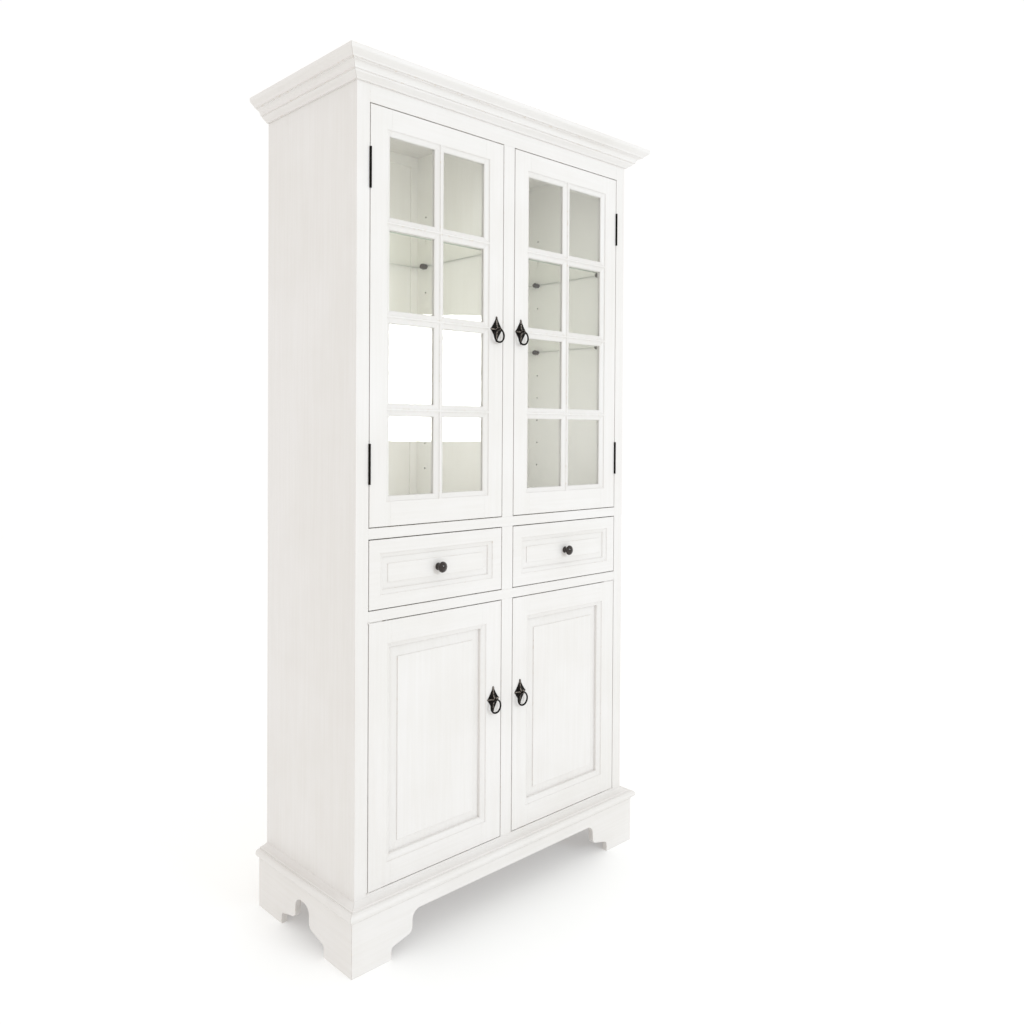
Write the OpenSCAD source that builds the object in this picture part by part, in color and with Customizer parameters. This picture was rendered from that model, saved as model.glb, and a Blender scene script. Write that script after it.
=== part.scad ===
// Painted two-bay display cabinet: glazed doors above, two drawers at the waist
// and panelled doors below, on a plinth with ogee bracket feet.
// Origin: centre of the bounding box on the floor. +Z up, the front faces -Y.

/* [Overall] */
// Width across the cornice
width = 1100; // [915:5:1320]
// Depth from the front edge of the cornice to the back
depth = 450; // [375:5:540]
// Height from the floor to the top of the cornice
height = 2100; // [1750:10:2520]

/* [Openings] */
// Height of the lower door openings
lower_open_h = 634; // [480:2:780]
// Height of the drawer openings
drawer_open_h = 168; // [134:2:210]
// Gap all round an inset door or drawer front
door_gap = 2.5; // [2.2:0.1:3.5]

/* [Carcass] */
// Thickness of the side panels
side_t = 20; // [16:0.5:24]
// Thickness of the centre partitions
partition_t = 18; // [15:0.5:22]
// Thickness of the decks, the top panel and the lower shelves
deck_t = 18; // [15:0.5:22]
// Thickness of the frame round the back panels
back_frame_t = 16; // [14:0.5:20]
// Thickness of the back panels
back_panel_t = 5; // [4:0.5:6]
// How far the side panels stand proud behind the back frame
back_inset = 6; // [2:1:12]

/* [Face frame] */
// Thickness of the face frame
face_t = 22; // [18:0.5:26]
// Width of the outer stiles
stile_w = 36.5; // [30:0.5:44]
// Width of the mullions between the two bays
mullion_w = 40; // [32:0.5:48]
// Height of the rails over and under the drawers
rail_h = 25.5; // [21:0.5:31]
// Height of plain top rail that shows below the cornice
frieze_h = 42; // [34:1:52]
// Height of bottom rail that shows above the base moulding
sill_h = 6; // [4:0.5:8]

/* [Cornice and base] */
// Projection of the cornice beyond the carcass
cornice_out = 55; // [45:1:66]
// Height of the cornice
cornice_h = 54; // [45:1:65]
// Projection of the plinth beyond the carcass
plinth_out = 23; // [19:1:27]
// Height of the plinth boards
plinth_h = 126; // [112:1:150]
// Thickness of the plinth boards
plinth_t = 16; // [14:0.5:20]
// Height of the base moulding
base_h = 34; // [30:1:40]
// Width of a bracket foot at the floor
foot_w = 114; // [96:1:125]

/* [Glazed doors] */
// Thickness of a glazed door
upper_door_t = 22; // [20:0.2:26.4]
// Width of the stiles, moulding included
upper_stile_w = 62.5; // [55:0.5:75]
// Height of the top rail, moulding included
upper_top_rail_h = 61; // [52:0.5:73]
// Height of the bottom rail, moulding included
upper_bottom_rail_h = 70.5; // [60:0.5:85]
// Width of the glazing bars, mouldings included
bar_w = 30; // [28:0.5:36]
// Rows of panes in a door
pane_rows = 4; // [2:1:5]
// Columns of panes in a door
pane_columns = 2; // [1:1:3]
// Thickness of the panes
pane_t = 3; // [2.5:0.5:4]
// Width of the rebate that holds a pane
rebate_w = 9; // [7:0.5:10]
// Thickness of the glazing beads
bead_t = 5; // [4:0.5:5.5]

/* [Panelled doors] */
// Thickness of a panelled door
lower_door_t = 24; // [22:0.5:26]
// Width of the stiles and rails, moulding included
lower_frame_w = 67; // [58:0.5:80]
// Width of the sloping border round the raised field
door_border_w = 25; // [18:1:30]
// Depth of the raised field behind the face of the door
door_field_d = 8.5; // [7:0.5:10]
// Thickness of the panel's edge, held in its groove
tongue_t = 5; // [4:0.5:5.5]

/* [Drawers] */
// Thickness of a drawer front
drawer_front_t = 22; // [20:0.5:26]
// Margin round the sunk panel of a drawer front
drawer_margin = 32.5; // [28:0.5:38]
// Thickness of the drawer sides and back
drawer_side_t = 12; // [10:0.5:15]
// Height of the drawer sides
drawer_side_h = 120; // [80:2:126]
// Thickness of the drawer bottom
drawer_bottom_t = 6; // [4:0.5:8]
// Space at each side of the drawer box inside its opening
drawer_side_space = 6; // [4:0.5:9]
// Running clearance between a drawer box and its guides
drawer_clear = 0.75; // [0.5:0.05:1]

/* [Mouldings] */
// Width of the ogee moulding on the doors
stick_w = 13; // [11:0.5:14]
// Depth of the ogee moulding on the doors
stick_d = 9.5; // [8:0.5:10.5]

/* [Shelves] */
// Spacing of the shelf holes
hole_pitch = 73.6; // [61:0.1:88.5]
// Radius of the shelf holes
hole_r = 2.5; // [2:0.1:3]
// Thickness of the glass shelves
shelf_glass_t = 6; // [5:0.5:8]
// Distance from the face frame to the front row of shelf holes
hole_front_in = 52; // [44:1:62]
// Distance from the back frame to the rear row of shelf holes
hole_back_in = 38; // [30:1:46]

/* [Hinges] */
// Length of a butt hinge
hinge_l = 95; // [80:1:115]
// Radius of a butt hinge's barrel
barrel_r = 2.8; // [2.6:0.1:3.4]
// Radius of a butt hinge's pin
hinge_pin_r = 1.6; // [1.4:0.1:1.8]
// Distance from a door's end to the middle of its hinge
hinge_in = 147; // [120:1:175]
// Running clearance round a hinge pin
pin_clear = 0.05; // [0.02:0.01:0.1]

/* [Handles] */
// Half width of a handle's back plate
plate_half_w = 22; // [18:0.5:24]
// Half height of a handle's back plate
plate_half_h = 34; // [28:0.5:40]
// Radius of a drop ring to the middle of its bar
ring_r = 17.2; // [14:0.2:21]
// Radius of the bar of a drop ring
ring_bar_r = 2.4; // [2:0.1:2.8]
// How far the ring hangs in front of the door
ring_out = 11.7; // [10:0.1:14]
// Distance from a glazed door's free edge to its handle
upper_handle_in = 23.5; // [23:0.5:27]
// Distance from a panelled door's free edge to its handle
lower_handle_in = 28.5; // [24:0.5:30]
// Radius of a drawer knob
knob_r = 14; // [12:0.5:17]
// Projection of a drawer knob
knob_out = 21; // [18:0.5:26]

/* [Hidden] */

$fn = 48;
PAINT = [0.93, 0.92, 0.90];
INSIDE = [0.84, 0.84, 0.79];
IRON = [0.09, 0.08, 0.08];
STEEL = [0.62, 0.62, 0.60];
BRONZE = [0.16, 0.13, 0.10];
GLASS = [0.80, 0.88, 0.84, 0.35];
BEECH = [0.78, 0.68, 0.52];

eps = 0.01;
over = 1;
glue_line = 0.15;      // joint between boards that share a node
housing_d = 6;         // depth of the housings that take the decks
frame_top_drop = 8;    // top edges of the boards below the top of the cornice
ceiling_drop = 46;     // underside of the top panel below the top of the cornice
ledge_t = 14;          // part of the base moulding that runs under the carcass
ledge_w = 25;

// Plan
x_side = width / 2 - cornice_out;
x_in = x_side - side_t;
x_open_out = x_side - stile_w;
x_open_in = mullion_w / 2;
x_bay = (x_open_out + x_open_in) / 2;
open_w = x_open_out - x_open_in;
y_front = cornice_out - depth / 2;
y_back = depth / 2;
y_face_back = y_front + face_t;
y_back_frame = y_back - back_inset - back_frame_t;

// Levels
z_base = plinth_h + base_h;
z_carcass = plinth_h + ledge_t;
z_lower = z_base + sill_h;
z_lower_top = z_lower + lower_open_h;
z_drawer = z_lower_top + rail_h;
z_drawer_top = z_drawer + drawer_open_h;
z_upper = z_drawer_top + rail_h;
z_cornice = height - cornice_h;
z_upper_top = z_cornice - frieze_h;
z_board_top = height - frame_top_drop;
z_ceiling = height - ceiling_drop;
deck_tops = [z_lower, z_drawer, z_upper];

// Doors and drawers
door_w = open_w - 2 * door_gap;
upper_door_h = z_upper_top - z_upper - 2 * door_gap;
lower_door_h = lower_open_h - 2 * door_gap;
drawer_front_h = drawer_open_h - 2 * door_gap;
z_upper_door = (z_upper + z_upper_top) / 2;
z_lower_door = (z_lower + z_lower_top) / 2;
z_drawer_mid = (z_drawer + z_drawer_top) / 2;
x_free = x_open_in + door_gap;
sight_w = door_w - 2 * upper_stile_w;
sight_h = upper_door_h - upper_top_rail_h - upper_bottom_rail_h;
pane_w = (sight_w - (pane_columns - 1) * bar_w) / pane_columns;
pane_h = (sight_h - (pane_rows - 1) * bar_w) / pane_rows;
sight_z = (upper_bottom_rail_h - upper_top_rail_h) / 2;
glass_y = stick_d + 2.5;
pane_play = 1;

// Shelf holes
hole_first_up = 118.5;
hole_top_margin = 150;
hole_depth = 7;
hole_count = floor((z_ceiling - z_upper - hole_first_up - hole_top_margin) / hole_pitch) + 1;
hole_top = z_upper + hole_first_up + (hole_count - 1) * hole_pitch;
glass_shelf_holes_down = [2, 5];
y_hole_front = y_face_back + hole_front_in;
y_hole_back = y_back_frame - hole_back_in;
low_hole_count = 5;
low_hole_pitch = 50;
z_low_hole = (z_lower + z_lower_top - deck_t - (low_hole_count - 1) * low_hole_pitch) / 2;
low_shelf_hole = 2;
shelf_play = 2;
clamp_r = 10;
clamp_l = 16;
clamp_lift = 5;
peg_l = 14;

// Hinges
x_axis = x_open_out - door_gap / 2;
barrel_out = 2;
leaf_t = door_gap / 2 - 0.05;
leaf_w = 18;
knuckles = 5;
knuckle_gap = 0.4;
relief = 0.3;
pivot_r = 3.4;
pivot_pin_r = 1.5;
pivot_plate_l = 42;
pivot_plate_w = 9;

// Handles
plate_t = 2.5;
boss_r = 8.5;
boss_h = 4;
eye_r = 5;
eye_t = 4.4;
eye_clear = 0.45;
shank_r = 2.5;
shank_clear = 0.1;
nut_r = 5;
nut_t = 3.5;

// ---------- outlines ----------

function arc(cx, cy, r, a0, a1, n = 8) =
    [for (i = [0:n]) let (a = a0 + (a1 - a0) * i / n) [cx + r * cos(a), cy + r * sin(a)]];

// An S-shaped sweep from p to q, square to the second axis at both ends
function ogee(p, q, n = 8) =
    [for (i = [0:n]) let (t = i / n, s = t * t * (3 - 2 * t))
        [p[0] + (q[0] - p[0]) * s, p[1] + (q[1] - p[1]) * t]];

function mirrored(points) =
    [for (i = [len(points) - 1:-1:0]) [-points[i][0], points[i][1]]];

// Half of a moulded sight opening: distance from its middle against depth
function sight_edge(half, w, d, deep) = concat(
    [[half, -over], [half, 1.2]],
    ogee([half - 0.8, 1.2], [half - w, d]),
    [[half - w, deep]]);

function sight_outline(half, w, d, deep) =
    let (edge = sight_edge(half, w, d, deep)) concat(edge, mirrored(edge));

// Half of a raised field: foot of the border, quirk and flat
function raised_outline(half, border, foot_d, quirk_d, field_d, back_d) =
    let (edge = [[half, back_d], [half, foot_d], [half - border, quirk_d],
                 [half - border, field_d + 0.6], [half - border - 1.4, field_d]])
    concat(edge, mirrored(edge));

// Cornice section: projection against height above the cornice's underside
cove_foot = [24, 14.5];
cove_r = 14;
cornice_points = concat(
    [[0, 0], [6, 0]],
    ogee([6, 0], [20, 13], 8),
    [[20, 14.5]],
    arc(cove_foot[0] + cove_r, cove_foot[1], cove_r, 180, 98, 8),
    [[36.2, 30.5], [41, 30.5]],
    ogee([41, 30.5], [cornice_out, cornice_h - 8], 8),
    [[cornice_out, cornice_h - 1.2], [cornice_out - 1.2, cornice_h], [0, cornice_h]]);

// Base moulding section: projection against height above the plinth
base_cove = [plinth_out - 3, 30];
base_points = concat(
    [[-ledge_w, 0], [plinth_out + 0.5, 0]],
    arc(plinth_out + 9, -1, 8.5, 173, 108, 5),
    arc(plinth_out + 1, base_h - 19.5, 10, -38, 78, 9),
    [[plinth_out - 2, base_h - 9.7], [plinth_out - 2, base_h - 7]],
    arc(base_cove[0], base_h + base_cove[1], norm(base_cove), 269,
        180 + atan(base_cove[1] / base_cove[0]), 6),
    [[0, ledge_t], [-ledge_w, ledge_t]]);

// One half of the opening between two bracket feet, from the foot inwards
foot_toe_h = 20;
foot_toe_r = 11;
foot_lobe_r = 16;
foot_slope_w = 37;
foot_slope_h = 9;
foot_neck_h = 15;
foot_arch_r = 24;
foot_run = foot_toe_r + foot_slope_w + foot_lobe_r + foot_arch_r;

function foot_edge() = let (
        z1 = foot_toe_h + foot_toe_r,
        x2 = foot_toe_r + foot_slope_w,
        z2 = z1 + foot_slope_h + foot_lobe_r,
        z3 = z2 + foot_neck_h)
    concat([[0, -over]],
        arc(foot_toe_r, foot_toe_h, foot_toe_r, 180, 90, 6),
        arc(x2, z2, foot_lobe_r, -90, 0, 7),
        arc(x2 + foot_lobe_r + foot_arch_r, z3, foot_arch_r, 180, 90, 8));

// Opening under a skirt of the given half width at the floor
function skirt_opening(half) =
    let (edge = [for (p = foot_edge()) [p[0] - half, p[1]]]) concat(edge, mirrored(edge));

// ---------- shared shapes ----------

module right() mirror([1, 0, 0]) children();

// A box from its low corner to its high corner
module block(low, high) translate(low) cube(high - low);

// A moulding run along X in front of the carcass
module front_run(points)
    rotate([90, 0, 90])
        linear_extrude(height = width + 2 * over, center = true)
            polygon([for (p = points) [y_front - p[0], p[1]]]);

// A moulding run along Y on the left side of the carcass
module side_run(points)
    translate([0, y_back, 0]) rotate([90, 0, 0])
        linear_extrude(height = depth + over)
            polygon([for (p = points) [-x_side - p[0], p[1]]]);

// Plan of the front run between its two mitres, p out and q in from the carcass corner
module front_plan(p, q) linear_extrude(height = height + over)
    polygon([[-x_side - p, y_front - p], [x_side + p, y_front - p],
             [x_side - q, y_front + q], [-x_side + q, y_front + q]]);

module side_plan(p, q) linear_extrude(height = height + over)
    polygon([[-x_side - p, y_front - p], [-x_side + q, y_front + q],
             [-x_side + q, y_back], [-x_side - p, y_back]]);

// Space inside a moulded edge, its face at y = 0 and its middle at the origin
module sink(half_w, half_h, w, d, deep)
    intersection() {
        linear_extrude(height = 2 * half_h + 2, center = true)
            polygon(sight_outline(half_w, w, d, deep));
        rotate([0, 90, 0]) linear_extrude(height = 2 * half_w + 2, center = true)
            polygon(sight_outline(half_h, w, d, deep));
    }

// Raised and fielded panel, its middle at the origin
module raised(half_w, half_h, border, foot_d, quirk_d, field_d, back_d)
    intersection() {
        linear_extrude(height = 2 * half_h, center = true)
            polygon(raised_outline(half_w, border, foot_d, quirk_d, field_d, back_d));
        rotate([0, 90, 0]) linear_extrude(height = 2 * half_w, center = true)
            polygon(raised_outline(half_h, border, foot_d, quirk_d, field_d, back_d));
    }

// Rows of blind shelf holes, bored from x = 0 towards +X
module shelf_holes(z_list)
    for (z = z_list, y = [y_hole_front, y_hole_back])
        translate([-eps, y, z]) rotate([0, 90, 0]) cylinder(r = hole_r, h = hole_depth + eps);

function upper_holes() = [for (i = [0:hole_count - 1]) hole_top - i * hole_pitch];
function lower_holes() = [for (i = [0:low_hole_count - 1]) z_low_hole + i * low_hole_pitch];

// ---------- carcass ----------

module side_panel()
    color(PAINT) difference() {
        block([-x_side, y_face_back, z_carcass], [-x_in, y_back, z_board_top]);
        for (z = deck_tops)
            block([-x_in - housing_d, y_face_back - over, z - deck_t], [-x_in + over, y_back_frame, z]);
        block([-x_in - housing_d, y_face_back - over, z_ceiling],
              [-x_in + over, y_back_frame, z_ceiling + deck_t]);
        translate([-x_in, 0, 0]) right() shelf_holes(concat(upper_holes(), lower_holes()));
    }

module side_panel_left() side_panel();
module side_panel_right() right() side_panel();

module partition(z0, z1, holes)
    difference() {
        block([-partition_t / 2, y_face_back, z0], [partition_t / 2, y_back_frame, z1]);
        translate([-partition_t / 2, 0, 0]) shelf_holes(holes);
        right() translate([-partition_t / 2, 0, 0]) shelf_holes(holes);
    }

module centre_partitions()
    color(INSIDE) {
        partition(z_lower, z_drawer - deck_t, lower_holes());
        partition(z_drawer, z_upper - deck_t, []);
        partition(z_upper, z_ceiling, upper_holes());
    }

module decks()
    color(INSIDE)
        for (z = deck_tops)
            block([-x_in - housing_d, y_face_back, z - deck_t], [x_in + housing_d, y_back_frame, z]);

module top_panel()
    color(PAINT)
        block([-x_in - housing_d, y_face_back, z_ceiling],
              [x_in + housing_d, y_back_frame, z_ceiling + deck_t]);

// Back: a frame of stiles and rails with panels held in grooves
back_stile_w = 30;
back_centre_show = 24;  // centre stile on each side of the partition
back_top_show = 30;     // top rail below the ceiling
back_waist_show = 26;   // waist rail above the waist deck
back_centre_w = partition_t + 2 * back_centre_show;
back_top_rail_h = z_board_top - z_ceiling + back_top_show;
back_waist_rail_h = 70;
back_bottom_rail_h = 70;
back_groove_d = 6;
z_back_waist = z_upper + back_waist_show - back_waist_rail_h;
back_levels = [
    [z_carcass, z_carcass + back_bottom_rail_h],
    [z_back_waist, z_back_waist + back_waist_rail_h],
    [z_board_top - back_top_rail_h, z_board_top]];
x_back_gap = [back_centre_w / 2, x_in - back_stile_w];

module back_panel_boxes(grow)
    for (side = [0, 1], level = [0, 1])
        mirror([side, 0, 0])
            block([x_back_gap[0] - back_groove_d,
                   y_back_frame + (back_frame_t - back_panel_t) / 2,
                   back_levels[level][1] - back_groove_d],
                  [x_back_gap[1] + back_groove_d,
                   y_back_frame + (back_frame_t + back_panel_t) / 2 + grow,
                   back_levels[level + 1][0] + back_groove_d]);

module back_stiles()
    color(INSIDE) difference() {
        union() {
            block([-x_back_gap[0], y_back_frame, z_carcass],
                  [x_back_gap[0], y_back_frame + back_frame_t, z_board_top]);
            for (side = [0, 1]) mirror([side, 0, 0])
                block([x_back_gap[1], y_back_frame, z_carcass],
                      [x_in, y_back_frame + back_frame_t, z_board_top]);
        }
        back_panel_boxes(0);
    }

module back_rails()
    color(INSIDE) difference() {
        for (side = [0, 1], level = back_levels)
            mirror([side, 0, 0])
                block([x_back_gap[0], y_back_frame, level[0]],
                      [x_back_gap[1], y_back_frame + back_frame_t, level[1]]);
        back_panel_boxes(0);
    }

module back_panels() color(INSIDE) back_panel_boxes(0);

// ---------- face frame ----------

module hinge_axes()
    for (z = [z_upper + door_gap + hinge_in, z_upper_top - door_gap - hinge_in])
        translate([-x_axis, y_front - barrel_out, z]) children();

// Room for the barrels of the butt hinges of one glazed door
module barrel_relief()
    hinge_axes() cylinder(r = barrel_r + relief, h = hinge_l + 2 * relief, center = true);

module face_stiles()
    color(PAINT) for (side = [0, 1]) mirror([side, 0, 0])
        difference() {
            block([-x_side, y_front, z_carcass], [-x_open_out, y_face_back, z_board_top]);
            barrel_relief();
            at_pivots() cylinder(r = pivot_r + relief, h = door_gap + relief);
        }

module face_mullions()
    color(PAINT)
        for (span = [[z_lower, z_lower_top], [z_drawer, z_drawer_top], [z_upper, z_upper_top]])
            block([-x_open_in, y_front, span[0]], [x_open_in, y_face_back, span[1]]);

module face_rails()
    color(PAINT)
        for (span = [[z_carcass, z_lower], [z_lower_top, z_drawer],
                     [z_drawer_top, z_upper], [z_upper_top, z_board_top]])
            block([-x_open_out, y_front, span[0]], [x_open_out, y_face_back, span[1]]);

// ---------- cornice, base and plinth ----------

module cornice_front()
    color(PAINT) intersection() {
        translate([0, 0, z_cornice]) front_run(cornice_points);
        front_plan(cornice_out + over, 0);
    }

module cornice_returns()
    color(PAINT) for (side = [0, 1]) mirror([side, 0, 0])
        intersection() {
            translate([0, 0, z_cornice]) side_run(cornice_points);
            side_plan(cornice_out + over, 0);
        }

module base_moulding_front()
    color(PAINT) intersection() {
        translate([0, 0, plinth_h]) front_run(base_points);
        front_plan(cornice_out, ledge_w);
    }

module base_moulding_returns()
    color(PAINT) for (side = [0, 1]) mirror([side, 0, 0])
        intersection() {
            translate([0, 0, plinth_h]) side_run(base_points);
            side_plan(cornice_out, ledge_w);
        }

plinth_points = [[plinth_out - plinth_t, 0], [plinth_out, 0],
                 [plinth_out, plinth_h], [plinth_out - plinth_t, plinth_h]];
skirt_half_front = x_side + plinth_out - foot_w;
side_half = (y_back - y_front + plinth_out) / 2;
side_foot_w = min(foot_w, side_half - foot_run - 3);
skirt_half_side = side_half - side_foot_w;
y_skirt_side = (y_back + y_front - plinth_out) / 2;

module plinth_front()
    color(PAINT) difference() {
        intersection() {
            front_run(plinth_points);
            front_plan(plinth_out, plinth_t - plinth_out);
        }
        translate([0, y_front, 0]) rotate([90, 0, 0])
            linear_extrude(height = cornice_out) polygon(skirt_opening(skirt_half_front));
    }

module plinth_sides()
    color(PAINT) for (side = [0, 1]) mirror([side, 0, 0])
        difference() {
            intersection() {
                side_run(plinth_points);
                side_plan(plinth_out, plinth_t - plinth_out);
            }
            translate([-x_side + over, y_skirt_side, 0]) rotate([90, 0, -90])
                linear_extrude(height = cornice_out) polygon(skirt_opening(skirt_half_side));
        }

back_board_lift = 40;
post_w = 34;
x_plinth_in = x_side + plinth_out - plinth_t;

module plinth_back()
    color(PAINT)
        for (tier = [[x_plinth_in, back_board_lift, plinth_h],
                     [x_side - ledge_w, plinth_h - eps, z_carcass]])
            block([-tier[0], y_back - back_inset - plinth_t, tier[1]],
                  [tier[0], y_back - back_inset, tier[2]]);

module plinth_corner_blocks()
    color(BEECH) for (side = [0, 1]) mirror([side, 0, 0]) {
        y0 = y_front - plinth_out + plinth_t;
        y1 = y_back - back_inset - plinth_t;
        block([x_plinth_in - post_w, y0, 0], [x_plinth_in, y0 + post_w, plinth_h]);
        block([x_plinth_in - post_w, y1 - post_w, 0], [x_plinth_in, y1, plinth_h]);
    }

// ---------- shelves ----------

glass_shelf_levels = [for (n = glass_shelf_holes_down) hole_top - n * hole_pitch];
x_shelf = [partition_t / 2 + shelf_play, x_in - shelf_play];
shelf_front_in = 30;
low_shelf_further = 2;   // the wooden shelves come this much nearer the doors
y_shelf = [y_face_back + shelf_front_in, y_back_frame - 4];

module glass_shelves()
    color(GLASS) for (side = [0, 1], z = glass_shelf_levels) mirror([side, 0, 0])
        block([x_shelf[0], y_shelf[0], z + clamp_lift - shelf_glass_t / 2],
              [x_shelf[1], y_shelf[1], z + clamp_lift + shelf_glass_t / 2]);

// Clamp on a stud: grips the edge of a glass shelf, built on a wall at x = 0, towards +X
module shelf_clamp() {
    difference() {
        translate([0, 0, clamp_lift]) rotate([0, 90, 0]) cylinder(r = clamp_r, h = clamp_l);
        block([shelf_play, -clamp_r - over, clamp_lift - shelf_glass_t / 2],
              [clamp_l + over, clamp_r + over, clamp_lift + shelf_glass_t / 2]);
    }
    translate([-hole_depth + 1, 0, 0]) rotate([0, 90, 0]) cylinder(r = hole_r, h = hole_depth - 1 + eps);
}

module glass_shelf_clamps()
    color(BRONZE)
        for (side = [0, 1], z = glass_shelf_levels, y = [y_hole_front, y_hole_back])
            mirror([side, 0, 0]) {
                translate([partition_t / 2, y, z]) shelf_clamp();
                translate([x_in, y, z]) right() shelf_clamp();
            }

z_low_shelf = z_low_hole + low_shelf_hole * low_hole_pitch + hole_r;

module lower_shelves()
    color(INSIDE) for (side = [0, 1]) mirror([side, 0, 0])
        block([x_shelf[0], y_shelf[0] - low_shelf_further, z_low_shelf],
              [x_shelf[1], y_shelf[1], z_low_shelf + deck_t]);

module lower_shelf_pegs()
    color(STEEL)
        for (side = [0, 1], y = [y_hole_front, y_hole_back], wall = [0, 1])
            mirror([side, 0, 0])
                translate([wall == 0 ? partition_t / 2 - hole_depth + 1 : x_in - peg_l, y,
                           z_low_shelf - hole_r])
                    rotate([0, 90, 0]) cylinder(r = hole_r, h = peg_l + hole_depth - 1);

// ---------- drawers ----------

box_half_w = open_w / 2 - drawer_side_space;
box_lift = 0.5;
drawer_back_space = 30;
y_box = [y_front + drawer_front_t, y_back_frame - drawer_back_space];
guide_h = 26;
bottom_up = 8;
bottom_groove_d = 5;
drawer_stick_w = 11;
drawer_stick_d = 8;
drawer_border_w = 16;
drawer_foot_d = 10;
drawer_quirk_d = 8;
drawer_field_d = 5.5;

y_guide = max(y_face_back, y_front + drawer_front_t) + 2;

module drawer_guides()
    color(BEECH) for (side = [0, 1]) mirror([side, 0, 0]) {
        block([x_bay + box_half_w + drawer_clear, y_guide, z_drawer],
              [x_in, y_back_frame, z_drawer + guide_h]);
        block([partition_t / 2, y_guide, z_drawer],
              [x_bay - box_half_w - drawer_clear, y_back_frame, z_drawer + guide_h]);
    }

module drawer_front() {
    half_w = door_w / 2 - drawer_margin;
    half_h = drawer_front_h / 2 - drawer_margin;
    color(PAINT) translate([-x_bay, y_front, z_drawer_mid]) difference() {
        union() {
            difference() {
                translate([-door_w / 2, 0, -drawer_front_h / 2])
                    cube([door_w, drawer_front_t, drawer_front_h]);
                sink(half_w, half_h, drawer_stick_w, drawer_stick_d, drawer_foot_d);
            }
            raised(half_w - drawer_stick_w + eps, half_h - drawer_stick_w + eps, drawer_border_w,
                   drawer_foot_d, drawer_quirk_d, drawer_field_d, drawer_foot_d + over);
        }
        rotate([-90, 0, 0]) cylinder(r = shank_r + shank_clear, h = drawer_front_t + over);
    }
}

module drawer_box()
    color(BEECH) translate([-x_bay, 0, z_drawer + box_lift]) difference() {
        union() {
            for (side = [0, 1]) mirror([side, 0, 0])
                block([box_half_w - drawer_side_t, y_box[0], 0], [box_half_w, y_box[1], drawer_side_h]);
            block([-box_half_w + drawer_side_t + glue_line, y_box[1] - drawer_side_t, 0],
                  [box_half_w - drawer_side_t - glue_line, y_box[1], drawer_side_h]);
        }
        drawer_bottom_shape();
    }

module drawer_bottom_shape()
    block([-box_half_w + drawer_side_t - bottom_groove_d, y_box[0], bottom_up],
          [box_half_w - drawer_side_t + bottom_groove_d, y_box[1] - drawer_side_t + bottom_groove_d,
           bottom_up + drawer_bottom_t]);

module drawer_bottom()
    color(BEECH) translate([-x_bay, 0, z_drawer + box_lift]) drawer_bottom_shape();

// Turned knob on a screw, its back on the field of the drawer front
knob_rise = knob_out + drawer_field_d;
knob_foot_r = knob_r - 3.5;
knob_rim_z = knob_rise - 8.2;
knob_rim_r = knob_r - 1.1;
dome_h = knob_rise - knob_rim_z;
dome_r = (knob_rim_r * knob_rim_r + dome_h * dome_h) / (2 * dome_h);

module drawer_knob()
    color(IRON) translate([-x_bay, y_front + drawer_field_d, z_drawer_mid]) rotate([90, 0, 0]) {
        rotate_extrude() polygon(concat(
            [[0, 0], [knob_foot_r, 0], [knob_foot_r, 1.5], [knob_foot_r - 2, 2.6]],
            arc(knob_r - 1.6, knob_rim_z - 10.9, 7, 230, 130, 7),
            arc(knob_r - 2.2, knob_rim_z - 1.9, 2.2, -75, 60, 6),
            arc(0, knob_rise - dome_r, dome_r, acos(knob_rim_r / dome_r), 90, 8)));
        translate([0, 0, drawer_field_d - drawer_front_t - 2])
            cylinder(r = shank_r, h = drawer_front_t - drawer_field_d + 2 + eps);
        translate([0, 0, drawer_field_d - drawer_front_t - 2.4]) cylinder(r = 5, h = 2.4);
    }

// ---------- handles ----------

// Forged back plate: a lozenge with hollow sides and budded points
hollow = 2.47;

module plate_outline() {
    polygon([for (a = [0:10:350])
        [sign(cos(a)) * plate_half_w * pow(abs(cos(a)), hollow),
         sign(sin(a)) * plate_half_h * pow(abs(sin(a)), hollow)]]);
    for (end = [-1, 1]) {
        translate([0, end * (plate_half_h - 2.4)]) circle(r = 2.4);
        translate([end * (plate_half_w - 2), 0]) circle(r = 2);
    }
}

// Plate with its boss, eye and nut, centred on the face of a door of thickness t
module handle_plate(t) {
    rotate([90, 0, 0]) {
        linear_extrude(height = plate_t) plate_outline();
        translate([0, 0, plate_t - eps]) rotate_extrude()
            polygon(concat([[0, 0]], arc(0, -4.5, boss_r + 1, 28, 62, 5),
                           [[3.2, boss_h + 1.5], [0, boss_h + 1.5]]));
        cylinder(r = 2.6, h = ring_out - ring_bar_r - eye_clear - 0.4);
    }
    translate([0, -ring_out, 0]) rotate([0, 90, 0]) difference() {
        cylinder(r = eye_r, h = eye_t, center = true);
        cylinder(r = ring_bar_r + eye_clear, h = eye_t + 2, center = true);
    }
    rotate([-90, 0, 0]) translate([0, 0, -eps]) {
        cylinder(r = shank_r, h = t + nut_t + 1.5);
        translate([0, 0, t]) linear_extrude(height = nut_t)
            polygon([for (i = [0:5]) nut_r * [cos(60 * i), sin(60 * i)]]);
    }
}

module drop_ring()
    translate([0, -ring_out, -ring_r]) rotate([90, 0, 0])
        rotate_extrude() translate([ring_r, 0]) circle(r = ring_bar_r, $fn = 24);

upper_handle_up = 3;
lower_handle_up = 58;

module at_upper_handle()
    translate([-x_free - upper_handle_in, y_front, z_upper_door + upper_handle_up]) children();

module at_lower_handle()
    translate([-x_free - lower_handle_in, y_front, z_lower_door + lower_handle_up]) children();

// ---------- glazed doors ----------

function pane_x(column) = (column - (pane_columns - 1) / 2) * (pane_w + bar_w);
function pane_z(row) = sight_z + (row - (pane_rows - 1) / 2) * (pane_h + bar_w);

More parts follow.
